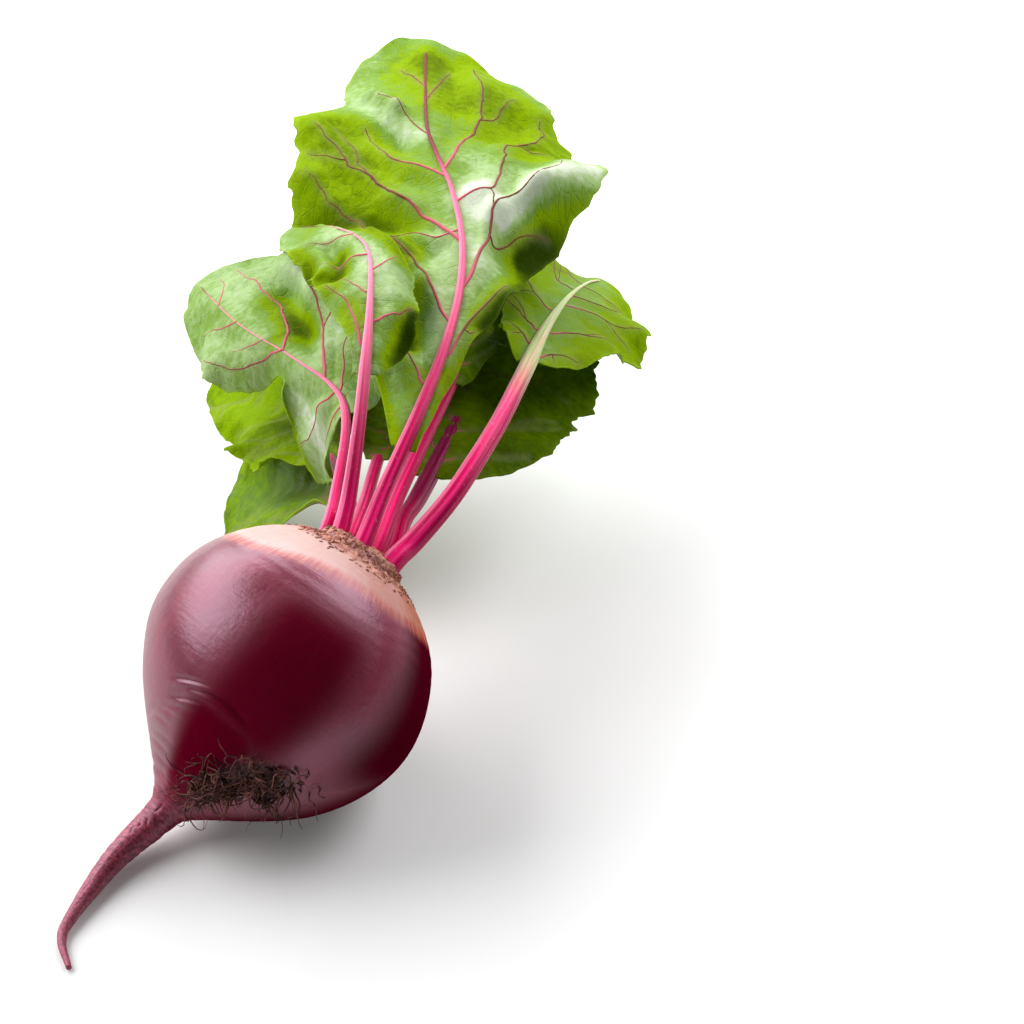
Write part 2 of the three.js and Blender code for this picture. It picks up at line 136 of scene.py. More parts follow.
def grid_faces(rows, columns, first=0, closed=True, flip=False):
    """Quads over rows of points, each row a ring if closed."""
    i, j = np.meshgrid(np.arange(rows - 1), np.arange(columns if closed else columns - 1), indexing="ij")
    k = (j + 1) % columns
    quads = np.stack([i * columns + j, i * columns + k, (i + 1) * columns + k, (i + 1) * columns + j], -1)
    quads = quads.reshape(-1, 4) + first
    return (quads[:, ::-1] if flip else quads).tolist()


def tube(rings):
    """The points and faces of rings of points, closed at each end by a point in its middle."""
    count, sides = len(rings) * rings.shape[1], rings.shape[1]
    faces = grid_faces(len(rings), sides)
    first, last = list(range(sides)), list(range(count - sides, count))
    faces += [(count, b, a) for a, b in zip(first, first[1:] + first[:1])]
    faces += [(count + 1, a, b) for a, b in zip(last, last[1:] + last[:1])]
    return np.vstack([rings.reshape(-1, 3), rings[0].mean(0), rings[-1].mean(0)]), faces


root_axis = Grown(ROOT_AXIS)
ROOT_LENGTH = root_axis.length


def root_radius(h):
    """The radius at a distance h along the axis from the crown."""
    past = h - SHOULDER_TO_MIDDLE
    off = np.minimum(1, np.abs(past) / np.where(past < 0, CROWN_HALF, TAIL_HALF))
    body = ROOT_RADIUS * (1 - off * off) ** np.where(past < 0, 0.5, TAPER)
    run_out = np.clip((h - TAIL_STARTS) / (ROOT_LENGTH - TAIL_STARTS), 0, 1)
    cone = (TAIL_RADIUS - TAIL_TIP_RADIUS) * (1 - run_out) ** TAIL_SLIMS
    tail = (TAIL_TIP_RADIUS + cone) * np.clip(2 * past / TAIL_HALF, 0, 1)
    drop = np.maximum(0, 1 - h / COLLAR_HEIGHT)
    collar = np.where(h < COLLAR_HEIGHT, COLLAR_RADIUS * (1 - 0.1 * drop**2), 0)
    soft = 1.2  # the collar sinks into the shoulder over this distance
    swollen = np.hypot(body, tail)
    return np.where(h < COLLAR_HEIGHT + soft, np.maximum(swollen, collar), swollen)


def turned(angle, centre):
    return np.arctan2(np.sin(angle - centre), np.cos(angle - centre))


# The furrow under the root, where the rootlets grow: its place, its reach each way and its depth.
FURROW = {"angle": 0.2, "h": 78, "wide": 0.34, "long": 11, "deep": 0.12}

# Each crease across the tail's root: how far along, how far round, its half-width round, its slant, its bow
# and its depth.
CREASES = [
    (52.6, 1.38, 0.15, 16, 20, 0.6), (51.8, 1.12, 0.23, 5, 26, 0.8), (57.2, 1.34, 0.16, 16, 20, 0.6),
    (61.2, 1.42, 0.15, 14, 16, 0.4), (64.6, 1.6, 0.2, 9, 10, 0.4), (67.6, 1.72, 0.25, 6, 6, 0.4),
    (70.6, 1.6, 0.3, 4, 4, 0.35), (73.4, 1.8, 0.4, 2, 3, 0.35), (76.2, 1.6, 0.5, 1, 2, 0.35),
    (79.6, 1.9, 0.6, 1, 1, 0.35), (83.5, 1.6, 0.7, 0, 1, 0.3), (64.0, 4.4, 0.5, 2, 1, 0.35),
    (70.0, 3.9, 0.6, -2, 1, 0.4),
]


def root_points(h, angle):
    """The skin at a distance h from the crown and an angle round the axis, with all its relief."""
    radius = root_radius(h)
    reach = 3 + 0.5 * radius
    chord = unit(root_axis.place((h + reach) / ROOT_LENGTH) - root_axis.place((h - reach) / ROOT_LENGTH))
    sideways = unit(np.cross([0.0, 0.0, 1.0], chord))
    upwards = np.cross(chord, sideways)

    on_body = np.sin(np.pi * np.clip(0.5 * h / SHOULDER_TO_MIDDLE, 0, 1))
    lumps = 0.009 * np.sin(2 * angle + 0.6) + 0.008 * np.sin(3 * angle + 0.05 * h)
    across = turned(angle, FURROW["angle"]) / FURROW["wide"]
    down = (h - FURROW["h"]) / FURROW["long"]
    furrow = FURROW["deep"] * np.exp(-(across**2) - down**2)
    reach_out = radius * (1 + lumps * on_body - furrow)

    round_it = np.stack([np.cos(angle), np.sin(angle), np.zeros_like(h)], -1)
    up_it = np.stack([0 * h, 0 * h, h], -1)
    tail = smooth(66, 84, h)
    rings = 1 - np.abs(grain(round_it * 1.1 + up_it * 0.42, 3.0))
    lines = grain(round_it * 2.6 + up_it * 0.03, 8.0)
    lobes = grain(round_it * 2.2 + up_it * 0.012, 5.0) * smooth(4, 20, h) * (1 - tail)
    pores = grain(round_it * 14 + up_it * 0.9, 12.0)
    relief = LOBE_RELIEF * lobes + PORE_RELIEF * pores
    wrinkles = RING_DEPTH * rings**9 + LINE_DEPTH - LINE_DEPTH * lines
    relief = relief - tail * np.minimum(1, radius / 5) * wrinkles
    for along, around, wide, slant, bow, deep in CREASES:
        off = turned(angle, around)
        line = along + slant * off + bow * off**2
        inside = np.exp(-((off / wide) ** 4))
        lip = np.exp(-(((h - line - 1.4) / 1.0) ** 2))
        fold = np.exp(-(((h - line) / CREASE_WIDE) ** 2)) - 0.6 * lip
        relief = relief - deep * fold * inside
    shoulder = smooth(5, 8, h) * (1 - smooth(14, 24, h))
    relief = relief + SHOULDER_RELIEF * shoulder * np.sin(2.1 * h + 6 * lobes)
    cork = 1 - smooth(4.5, 7, h)
    relief = relief + cork * CORK_RELIEF * grain(round_it * 7 + up_it * 0.8, 21.0)
    reach_out = np.maximum(reach_out + relief, LEAST_RADIUS)

    place = root_axis.place(h / ROOT_LENGTH)
    place = place + sideways * (reach_out * np.cos(angle))[..., None]
    place = place + upwards * (reach_out * np.sin(angle))[..., None]
    pressed = FLAT_DEPTH * np.exp(-((np.hypot(place[..., 0], place[..., 1]) / FLAT_REACH) ** 2))
    low = place[..., 2] < ROOT_RADIUS / 2
    place[..., 2] = np.where(low, np.maximum(place[..., 2] - pressed, 0), place[..., 2])
    return place


def add_node(tree, kind, inputs=None, out=0, **settings):
    """A new node's output: a socket among its inputs is linked, a value is set. Colours are opaque."""
    made = tree.nodes.new(kind)
    for key, value in settings.items():
        setattr(made, key, value)
    for key, value in (inputs or {}).items():
        socket = made.inputs[key]
        if isinstance(value, bpy.types.NodeSocket):
            tree.links.new(value, socket)
        else:
            socket.default_value = (*value, 1) if socket.type == "RGBA" else value
    return made.outputs[out] if len(made.outputs) else made


def maths(operation):
    """A maker of Math nodes, each in the tree of its first value."""

    def made(*values):
        return add_node(values[0].id_data, "ShaderNodeMath", dict(enumerate(values)), operation=operation)

    return made


plus, minus, times, times_plus, most = map(maths, ("ADD", "SUBTRACT", "MULTIPLY", "MULTIPLY_ADD", "MAXIMUM"))


def vectors(operation, inputs, out=0):
    return add_node(inputs[0].id_data, "ShaderNodeVectorMath", inputs, out, operation=operation)


def facing(grown, way):
    """How far places face a way round the axis."""
    return vectors("DOT_PRODUCT", {0: grown, 1: way}, out=1)


def speckled(place, scale, detail, rough=0.5):
    """Noise at a place, drawn out along each axis if there is a scale for each."""
    if isinstance(scale, tuple):
        place, scale = vectors("MULTIPLY", {0: place, 1: scale}), 1.0
    inputs = {"Vector": place, "Scale": scale, "Detail": detail, "Roughness": rough}
    return add_node(place.id_data, "ShaderNodeTexNoise", inputs)


def blend(factor, a, b):
    """The colour that a factor makes of two colours."""
    return add_node(factor.id_data, "ShaderNodeMix", {0: factor, 6: a, 7: b}, out=2, data_type="RGBA")


def ease(value, low, high, to_low=0.0, to_high=1.0):
    """A value eased from one range to another."""
    inputs = {"Value": value, "From Min": low, "From Max": high, "To Min": to_low, "To Max": to_high}
    return add_node(value.id_data, "ShaderNodeMapRange", inputs, interpolation_type="SMOOTHSTEP")


def bumped(height, strength, distance):
    inputs = {"Height": height, "Strength": strength, "Distance": distance}
    return add_node(height.id_data, "ShaderNodeBump", inputs)


def coated(colour, rough, shine, tint=(1, 1, 1), relief=None):
    """A surface of a colour with a roughness, and how much and in what tint it shines."""
    inputs = {"Base Color": colour, "Roughness": rough, "Specular IOR Level": shine, "Specular Tint": tint}
    if relief:
        inputs["Normal"] = relief
    return add_node(colour.id_data, "ShaderNodeBsdfPrincipled", inputs)


def finish_of(name, *marks):
    """A new material with its tree, the place on its piece, and the marks that the piece carries."""
    material = bpy.data.materials.new(name)
    material.use_nodes = True
    tree = material.node_tree
    tree.nodes.clear()
    read = [add_node(tree, "ShaderNodeTexCoord", out=3)]
    for mark in marks:
        out = 1 if mark in ("grown", "flat") else 2  # these two are vectors
        read.append(add_node(tree, "ShaderNodeAttribute", out=out, attribute_name=mark))
    return material, tree, *read


def finished(material, surface):
    add_node(surface.id_data, "ShaderNodeOutputMaterial", {"Surface": surface})
    return material


def skin_finish():
    # Here grown is the way round the axis, and the mm down it.
    material, tree, place, grown, earthy = finish_of("beetroot_skin", "grown", "earthy")
    down = add_node(tree, "ShaderNodeSeparateXYZ", {"Vector": grown}, out=2)
    mottle = speckled(place, 38, 5, 0.6)
    fine = speckled(place, 420, 4, 0.65)
    streaks = speckled(grown, (26, 26, 0.07), 3, 0.6)
    ticks = speckled(grown, (2.4, 2.4, 1.5), 4, 0.7)

    # The tan of the shoulder reaches further down on the side that lay in the sun.
    tan_reach = plus(ease(facing(grown, (-0.8, 0.6, 0)), 0.2, 1, 0, 5.5), 10.6)
    frayed = times_plus(streaks, 2.2, minus(down, tan_reach))
    frayed = minus(times_plus(mottle, 3, frayed), 2.6)
    burgundy = blend(ease(mottle, 0.35, 0.65), (0.12, 0.001, 0.013), (0.185, 0.002, 0.023))
    burgundy = blend(ease(streaks, 0.52, 0.75, 0, 0.3), burgundy, (0.26, 0.012, 0.06))
    burgundy = blend(ease(fine, 0.6, 0.8, 0, 0.25), burgundy, (0.34, 0.05, 0.09))
    # Painted shade: the skin is darker, and duller, low on the right and under the tail, where shade falls.
    painted_low_shade = times(ease(facing(grown, (0.9, -0.43, 0)), 0.66, 0.96), ease(down, 62, 42))
    under = times(ease(facing(grown, (0.5, -0.86, 0)), 0.35, 0.85), ease(down, 104, 88))
    painted_low_shade = most(painted_low_shade, under)
    burgundy = blend(ease(painted_low_shade, 0, 1, 0, 0.75), burgundy, (0.035, 0, 0.004))
    # Painted shade: a darker crimson band runs down the tail's near side and fades out upwards, where the
    # skin faces the gap between the two lights; it is duller there too.
    fold = times(ease(facing(grown, (0.56, 0.83, 0)), 0.9, 0.995), ease(down, 46, 58))
    fold = times(fold, ease(down, 92, 76))
    painted_band_shade = times(ease(facing(grown, (0.62, 0.78, 0)), 0.86, 0.99), ease(down, 12, 26, 0, 0.9))
    fold = most(fold, times(painted_band_shade, ease(down, 68, 52)))
    burgundy = blend(ease(fold, 0, 1, 0, 0.7), burgundy, (0.085, 0, 0.008))
    dull = most(painted_low_shade, fold)
    tail = blend(ease(ticks, 0.4, 0.62), (0.15, 0.012, 0.028), (0.42, 0.055, 0.1))
    burgundy = blend(ease(down, 68, 98), burgundy, tail)
    # Partly painted light: the tan is painted paler on the side that faces the left light, and browner on
    # the far side.
    tan = blend(ease(facing(grown, (-0.6, 0.8, 0)), -0.1, 0.8), (0.36, 0.11, 0.065), (0.48, 0.31, 0.27))
    tan = blend(ease(mottle, 0.3, 0.7, 0, 0.25), tan, (0.58, 0.38, 0.32))
    tan = blend(ease(streaks, 0.5, 0.7, 0, 0.4), tan, (0.44, 0.2, 0.16))
    tan = blend(ease(fine, 0.5, 0.75, 0, 0.3), tan, (0.58, 0.41, 0.36))
    rim = blend(ease(streaks, 0.4, 0.6), (0.42, 0.12, 0.07), (0.36, 0.06, 0.05))
    skin = blend(ease(frayed, -2, 0.4), tan, rim)
    skin = blend(ease(frayed, -0.4, 2.6), skin, burgundy)
    cork = blend(ease(fine, 0.4, 0.62), (0.22, 0.06, 0.04), (0.5, 0.22, 0.15))
    skin = blend(ease(times_plus(mottle, 3, down), 5, 6.6), cork, skin)
    # Under the rootlets it is brown with earth.
    skin = blend(ease(times_plus(fine, 0.5, earthy), 0.5, 0.95), skin, (0.07, 0.022, 0.018))

    relief = bumped(times_plus(streaks, 0.3, times_plus(ticks, 0.6, fine)), 0.12, 0.0012)
    rough = plus(ease(mottle, 0.3, 0.7, -0.03, 0.05), 0.35)
    rough = plus(ease(frayed, -8, 3, 0.22, 0), rough)
    rough = plus(ease(down, 70, 96, 0, 0.16), rough)
    rough = times_plus(dull, 0.35, rough)
    return finished(material, coated(skin, rough, ease(dull, 0, 1, 0.88, 0), (1, 0.76, 0.95), relief))


skin = skin_finish()

rows = np.linspace(0, 1, ROOT_RINGS)
rows = (0.45 * rows**2 + 0.55 * rows) * ROOT_LENGTH
turns = np.linspace(0, 2 * np.pi, ROOT_SIDES, endpoint=False)
h, angle = np.meshgrid(rows, turns, indexing="ij")
body = root_points(h, angle)
grown = np.stack([np.cos(angle), np.sin(angle), h], -1)

# The crown inside the collar: rings that close over its top, a little domed and rough with old leaf scars.
CROWN_RINGS, CROWN_DOME, CROWN_ROUGH = 14, 2.2, 1.1
shrink = np.cos(np.linspace(0, 0.5 * np.pi, CROWN_RINGS + 1))[1:-1]
crown_middle = root_axis.place(np.array(0.0))
crown_way = root_axis.along(np.array(0.0))
crown = []
for share in shrink[::-1]:
    ring = crown_middle + (body[0] - crown_middle) * share
    bump = CROWN_ROUGH * grain(ring * 0.35, 31.0) + CROWN_DOME * (1 - share**2)
    crown.append(ring - crown_way * bump[:, None])

points, faces = tube(np.concatenate([crown, body]))
marks = np.concatenate([grown[: len(crown)] * (1, 1, 0), grown]).reshape(-1, 3)
marks = np.vstack([marks, [0, 0, 0], [0, 0, ROOT_LENGTH]])
h_all, angle_all = marks[:, 2], np.arctan2(marks[:, 1], marks[:, 0])
middle = 0.48 + 0.016 * (h_all - 64)
patch = np.exp(-(((h_all - 67) / 11.5) ** 4) - (turned(angle_all, middle) / 0.25) ** 4)
root = mesh_piece("root_skin", points, faces, skin, {"grown": marks, "earthy": patch})
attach(root, "root")
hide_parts("taproot")


# The rootlets: fine wiry side roots, dried brown, that grow out of the furrow and here and there along the
# tail. They curl, thin out at their tips and rest on the floor.
def geometry_tree(name, material, sizes):
    """A Geometry Nodes tree with named inputs, a maker of its nodes, and a way to run it on a piece."""
    tree = bpy.data.node_groups.new(name, "GeometryNodeTree")
    kinds = {int: "Int", float: "Float", str: "Geometry"}
    identifiers = {}
    for key, value in {"Geometry": "", **sizes, "Material": material}.items():
        kind = "NodeSocket" + kinds.get(type(value), "Material")
        socket = tree.interface.new_socket(key, in_out="INPUT", socket_type=kind)
        identifiers[key] = socket.identifier
        if key in sizes:
            socket.default_value = value
    tree.interface.new_socket("Geometry", in_out="OUTPUT", socket_type="NodeSocketGeometry")
    given = tree.nodes.new("NodeGroupInput").outputs

    def node(*values, **settings):
        return add_node(tree, *values, **settings)

    def run(piece):
        """Runs the tree on a piece, and gives the piece the plain mesh that results."""
        modifier = piece.modifiers.new(name, "NODES")
        modifier.node_group = tree
        for key, value in {**sizes, "Material": material}.items():
            modifier[identifiers[key]] = value
        bpy.context.view_layer.update()
        evaluated = piece.evaluated_get(bpy.context.evaluated_depsgraph_get())
        result = bpy.data.meshes.new_from_object(evaluated)
        piece.modifiers.remove(modifier)
        old, piece.data = piece.data, result
        bpy.data.meshes.remove(old)

    return given, node, run


def scattered(given, mark):
    """Points on the faces, as dense as a mark says: the points, their normals and their rotations."""
    tree = given["Geometry"].id_data
    marked = add_node(tree, "GeometryNodeInputNamedAttribute", {"Name": mark}, data_type="FLOAT")
    inputs = {"Mesh": given["Geometry"], "Density": times(marked, given["Density"]), "Seed": given["Seed"]}
    return add_node(tree, "GeometryNodeDistributePointsOnFaces", inputs, slice(None))


def random_vector(given, low, high):
    inputs = {0: low, 1: high, "Seed": given["Seed"]}
    return add_node(given["Seed"].id_data, "FunctionNodeRandomValue", inputs, data_type="FLOAT_VECTOR")


def end_tree(geometry, given):
    """Realizes what the tree made, gives it its material and hands it out."""
    tree = geometry.id_data
    geometry = add_node(tree, "GeometryNodeRealizeInstances", {"Geometry": geometry})
    inputs = {"Geometry": geometry, "Material": given["Material"]}
    add_node(tree, "NodeGroupOutput", {0: add_node(tree, "GeometryNodeSetMaterial", inputs)})


def end_in_tubes(curves, given, sides, radius, scale):
    tree = curves.id_data
    ring = add_node(tree, "GeometryNodeCurvePrimitiveCircle", {"Resolution": sides, "Radius": radius})
    inputs = {"Curve": curves, "Profile Curve": ring, "Scale": scale, "Fill Caps": True}
    tubes = add_node(tree, "GeometryNodeCurveToMesh", inputs)
    end_tree(add_node(tree, "GeometryNodeSetShadeSmooth", {"Geometry": tubes}), given)


def plain_finish(name, dark, light, scale, rough):
    """A finish that is mottled between two colours."""
    material, _, place = finish_of(name)
    colour = blend(ease(speckled(place, scale, 3.0), 0.38, 0.62), dark, light)
    return finished(material, coated(colour, rough, 0.3))


rootlet_skin = plain_finish("beetroot_rootlet", (0.03, 0.008, 0.006), (0.17, 0.06, 0.045), 300, 0.75)
sizes = {"Density": 1400000.0, "Length": 0.0062, "Curl": 0.008, "Radius": 0.00027, "Seed": 5}
given, node, grow_rootlets = geometry_tree("rootlets", rootlet_skin, sizes)
spots = scattered(given, "hairy")
outward = vectors("SCALE", {0: spots[1], "Scale": 0.2})
way = vectors("ADD", {0: random_vector(given, (-1.3, -1.3, -1.3), (1.3, 1.3, 0.7)), 1: outward})
aim = node("FunctionNodeAlignRotationToVector", {"Vector": way}, axis="Z")
long = node("FunctionNodeRandomValue", {2: 0.35, 3: 1.3, "Seed": given["Seed"]}, out=1, data_type="FLOAT")
strand = node("GeometryNodeCurvePrimitiveLine", {"Start": (0, 0, 0), "End": (0, 0, 1)})
strand = node("GeometryNodeResampleCurve", {"Curve": strand, "Count": 16})
placed = {"Points": spots[0], "Instance": strand, "Rotation": aim, "Scale": times(long, given["Length"])}
strands = node("GeometryNodeInstanceOnPoints", placed)
strands = node("GeometryNodeRealizeInstances", {"Geometry": strands})
along = node("GeometryNodeSplineParameter")
place = node("GeometryNodeInputPosition")
swirl = node("ShaderNodeTexNoise", {"Vector": place, "Scale": 190.0, "Detail": 1.0}, out=1)
swirl = vectors("SUBTRACT", {0: swirl, 1: (0.5, 0.5, 0.5)})
swirl = vectors("SCALE", {0: swirl, "Scale": times(times(along, given["Curl"]), 3.0)})
strands = node("GeometryNodeSetPosition", {"Geometry": strands, "Offset": swirl})
parts = node("ShaderNodeSeparateXYZ", {0: place}, out=slice(None))
rested = node("ShaderNodeCombineXYZ", {0: parts[0], 1: parts[1], 2: most(parts[2], 0.0004)})
strands = node("GeometryNodeSetPosition", {"Geometry": strands, "Position": rested})
taper = node("ShaderNodeMapRange", {"Value": along, "To Min": 1.0, "To Max": 0.3})
end_in_tubes(strands, given, 4, given["Radius"], taper)

sparse = 0.012 * smooth(62, 80, h_all) * smooth(112, 90, h_all)
hairy_marks = np.where(patch + sparse > 0.02, patch + sparse, 0)
rootlets = mesh_piece("rootlets", points, faces, rootlet_skin, {"hairy": hairy_marks})
grow_rootlets(rootlets)
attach(rootlets, "root")

# The cork: flakes and scars of dead leaf stalks, dry and light brown. They crust the collar round the
# stalks, and are grown on to it.
cork_skin = plain_finish("beetroot_cork", (0.2, 0.06, 0.038), (0.54, 0.26, 0.18), 260, 0.8)
sizes = {"Density": 700000.0, "Size": 0.0007, "Seed": 2}
given, node, crust = geometry_tree("cork_flakes", cork_skin, sizes)
spots = scattered(given, "corky")
tilt = random_vector(given, (-0.7, -0.7, -3.1), (0.7, 0.7, 3.1))
tilted = node("FunctionNodeRotateRotation", {0: spots[2], 1: tilt}, rotation_space="LOCAL")
size = vectors("SCALE", {0: random_vector(given, (0.5, 0.35, 0.2), (1.5, 1.0, 0.5)), "Scale": given["Size"]})
flake = node("GeometryNodeMeshIcoSphere", {"Radius": 1.0, "Subdivisions": 1})
placed = {"Points": spots[0], "Instance": flake, "Rotation": tilted, "Scale": size}
end_tree(node("GeometryNodeInstanceOnPoints", placed), given)

corky_marks = np.where(h_all < CORK_TO, 1 - smooth(3.4, CORK_TO, h_all), 0)
cork = mesh_piece("cork_flakes", points, faces, cork_skin, {"corky": corky_marks})
crust(cork)
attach(cork, "root")

# ---- the stalks
# Each stalk is a crisp magenta rod, hollowed along the leaf's upper side and ribbed below. It clasps the
# crown at its foot and runs on through the blade as the midrib.
MIDRIB_ENDS, MIDRIB_TIP, MIDRIB_SLIMS = 0.93, 0.35, 2.0
FINE_TIPS = {"front_leaf": 0.1, "left_leaf": 0.15}  # the midribs that run out finer than the rest
STALK_WIDE, GROOVE_DEPTH = 1.1, 0.34
STALK_RINGS, STALK_SIDES = 120, 44
RIBS, RIB_RELIEF, RIB_SINKS = 9, 0.045, 1.1
PLAIN_FILL, PLAIN_BULGE = 1.1, 1.3

# Half a blade: its width, where it is widest, its lean at the foot and the tip, its curl, how full it is,
# and its notches: each one's place, depth, and reach before and after.
Half = namedtuple("Half", "width widest lean lean_tip curl fill notches", defaults=(PLAIN_FILL, ()))
# A leaf: 1 if its upper side is seen from above, else -1, its stalk's radius at foot and neck, the share of
# its length where the blade starts, the form of its margin, the rows and columns of its mesh, the way it
# faces at foot and tip, its left and right halves, the curve of its spine, and, where they aren't as in most
# leaves, how fast its midrib slims and how far its sheet bulges.
FIELDS = "name upper stalk blade_from lobe ruffle waves phase mesh faces halves curve slims bulge"
Leaf = namedtuple("Leaf", FIELDS, defaults=(MIDRIB_SLIMS, PLAIN_BULGE))

LEAVES = [
    Leaf(
        "top_leaf", -1, (2.5, 1.9), 0.15, 0, 5, 3.5, 0.4, (230, 72), [(-0.1, -0.5, 0.9), (0, 0.1, 1)],
        [Half(45.5, 0.6, -8, 4, -10, 0.66, [(0.75, 0.16, 0.06, 0.06), (0.785, 0.32, 0.012, 0.19)]),
         Half(54, 0.62, -16, -4, -26, 2.6, [(0.38, 0.38, 0.1, 0.08), (0.61, 0.2, 0.05, 0.08)])],
        Grown([(13.5, 12.7, 61.8), (17.1, 19, 67), (21.7, 29.5, 74), (30.2, 48.5, 84.5), (36.8, 70, 90.5),
               (41.1, 93.5, 94.5), (41.7, 116, 98), (38.5, 138.5, 101), (34.1, 154.5, 102.5),
               (30.5, 170.5, 103.5), (29.3, 196.5, 103), (28.5, 235.5, 99)]),
        bulge=2.2,
    ),
    Leaf(
        "front_leaf", -1, (2.3, 1.5), 0.33, 0, 2.5, 3, 1.4, (130, 38), [(0.1, -0.8, 0.6), (-0.1, 0.2, 1)],
        [Half(19, 0.6, -14, -4, -18, notches=[(0.6, 0.18, 0.12, 0.3)]),
         Half(13, 0.36, -10, -16, -26, notches=[(0.76, 0.7, 0.3, 0.2)])],
        Grown([(8.3, 17.2, 63.7), (10.8, 21.7, 69), (12.7, 27.5, 76), (15.2, 35, 91), (16.6, 46.5, 101),
               (17.4, 61, 107.5), (17.4, 76, 110.5), (16.5, 89, 110.5), (13.5, 99.5, 109), (7, 111, 105),
               (-2, 122.5, 98.5), (-9, 131, 92.5)]),
    ),
    Leaf(
        "left_leaf", -1, (1.7, 1.2), 0.27, 6, 4, 3.5, 2.6, (170, 54), [(-0.2, -0.6, 0.8), (-0.4, -0.2, 0.9)],
        [Half(31, 0.22, -48, -8, -20, notches=[(0.38, 0.8, 0.12, 0.14)]), Half(44, 0.7, -16, -2, -18, 0.42)],
        Grown([(4.8, 21.4, 63), (7.2, 26.3, 67.1), (8.5, 34.5, 70), (10.5, 50.5, 77), (9.3, 63, 79),
               (4.7, 72.5, 79), (-2.5, 82, 78), (-9.9, 92.5, 76), (-18.2, 103, 74), (-25.7, 115.5, 71),
               (-34.3, 134.5, 66), (-40.5, 152.5, 60)]),
        slims=6, bulge=2.2,
    ),
    Leaf(
        "bright_leaf", 1, (2.1, 1.6), 0.38, 0, 3, 3, 0.2, (130, 44), [(0, 0.2, 0.9), (-0.2, -0.5, 0.8)],
        [Half(19, 0.42, 6, 8, -20), Half(22, 0.64, 8, 6, -26)],
        Grown([(8.8, 23.7, 57.4), (11.6, 30.4, 60.4), (11.5, 42.2, 58.9), (6.5, 67.5, 51.5), (-2, 97, 41),
               (-14, 123.5, 30.2), (-26.5, 140, 25), (-39.5, 152, 20.5)]),
    ),
    Leaf(
        "low_leaf", 1, (2.4, 1.7), 0.34, 0, 2.5, 3, 1.1, (120, 44), [(0, 0.1, 0.9), (-0.1, -0.45, 0.85)],
        [Half(24, 0.62, 4, -14, -10), Half(24, 0.74, 14, 34, -14)],
        Grown([(14.2, 22.5, 54), (18, 29.2, 56.8), (14.8, 43.7, 54.2), (5.8, 66.5, 41.5), (-2, 84.5, 29.5),
               (-9.9, 99.5, 18.5), (-19, 113, 9), (-30, 127, 3)]),
    ),
    Leaf(
        "right_leaf", -1, (2.9, 2.2), 0.47, 4, 4, 3, 0.9, (130, 46), [(-0.3, -0.5, 0.8), (0.2, 0, 1)],
        [Half(16, 0.5, 10, 8, -14), Half(26, 0.52, -10, -8, -30)],
        Grown([(20.9, 12.3, 57.2), (24.7, 16.7, 60.4), (29.6, 22.5, 62), (38.8, 30.3, 69.5),
               (45.6, 41.1, 74), (52.1, 56.5, 76), (56.9, 72.5, 76), (61.2, 90.5, 74), (66.2, 114.5, 69),
               (72.8, 141.5, 61), (79.5, 166.5, 50), (85.5, 186.5, 38)]),
    ),
    Leaf(
        "inner_leaf", 1, (2.4, 2.1), 0.42, 3, 3, 3, 2.2, (130, 44), [(0, 0.3, 0.9), (0.1, 0, 1)],
        [Half(25, 0.52, 9, 9, -24), Half(10, 0.5, -4, -4, -16)],
        Grown([(16.8, 17.3, 56.3), (20.2, 24.5, 60.4), (23.6, 37.5, 63), (30.1, 57.5, 67), (37.6, 85, 68),
               (42.6, 111, 66), (45.7, 138.5, 62), (44.5, 164.5, 55), (42, 184.5, 47)]),
    ),
    Leaf(
        "back_leaf", 1, (2, 2.5), 0.22, 3, 3, 3, 0.7, (130, 46), [(0, 0.3, 0.9), (0.1, 0, 1)],
        [Half(12, 0.5, -10, -6, -12), Half(34, 0.46, -12, -8, -14)],
        Grown([(21, 19.5, 53.5), (24.2, 26, 57), (26.2, 35.7, 58.9), (29.6, 44.6, 58.9), (35, 62.6, 59.2),
               (40, 83.3, 58), (44.3, 105.8, 56), (49.7, 129.6, 53.9), (54.5, 152.7, 51), (57.6, 169.9, 47),
               (59.2, 181.9, 42.9)]),
    ),
    Leaf(
        "young_leaf", 1, (2, 1.6), 0.42, 0, 2, 2.5, 0.1, (80, 26), [(0, 0.3, 0.9), (0, 0, 1)],
        [Half(14, 0.56, 12, 8, -24), Half(12, 0.56, 12, 8, -22)],
        Grown([(11.2, 18.4, 59.5), (13.4, 25, 63.4), (15.8, 36.5, 64), (18.2, 51.5, 65), (20.5, 68.5, 63.5),
               (22.2, 86.5, 61), (20.5, 106, 56)]),
    ),
]


def leaf_frame(leaf, share):
    """Along a leaf's spine: the place, the way it runs, the way its upturned side faces, and its right."""
    along = leaf.curve.along(share)
    first, second = (np.array(way, float) for way in leaf.faces)
    facing_way = first + (second - first) * np.asarray(share)[..., None]
    up = unit(facing_way - along * np.sum(facing_way * along, -1, keepdims=True))
    return leaf.curve.place(share), along, up, np.cross(along, up)


def rib_radius(leaf, share):
    foot, neck = leaf.stalk
    start = leaf.blade_from
    end = start + (1 - start) * MIDRIB_ENDS
    stalk = neck + (foot - neck) * np.clip(1 - share / start, 0, 1) ** 1.6
    on = np.clip((share - start) / (end - start), 0, 1)
    tip = FINE_TIPS.get(leaf.name, MIDRIB_TIP)
    return np.where(share < start, stalk, tip + (neck - tip) * (1 - on) ** leaf.slims)


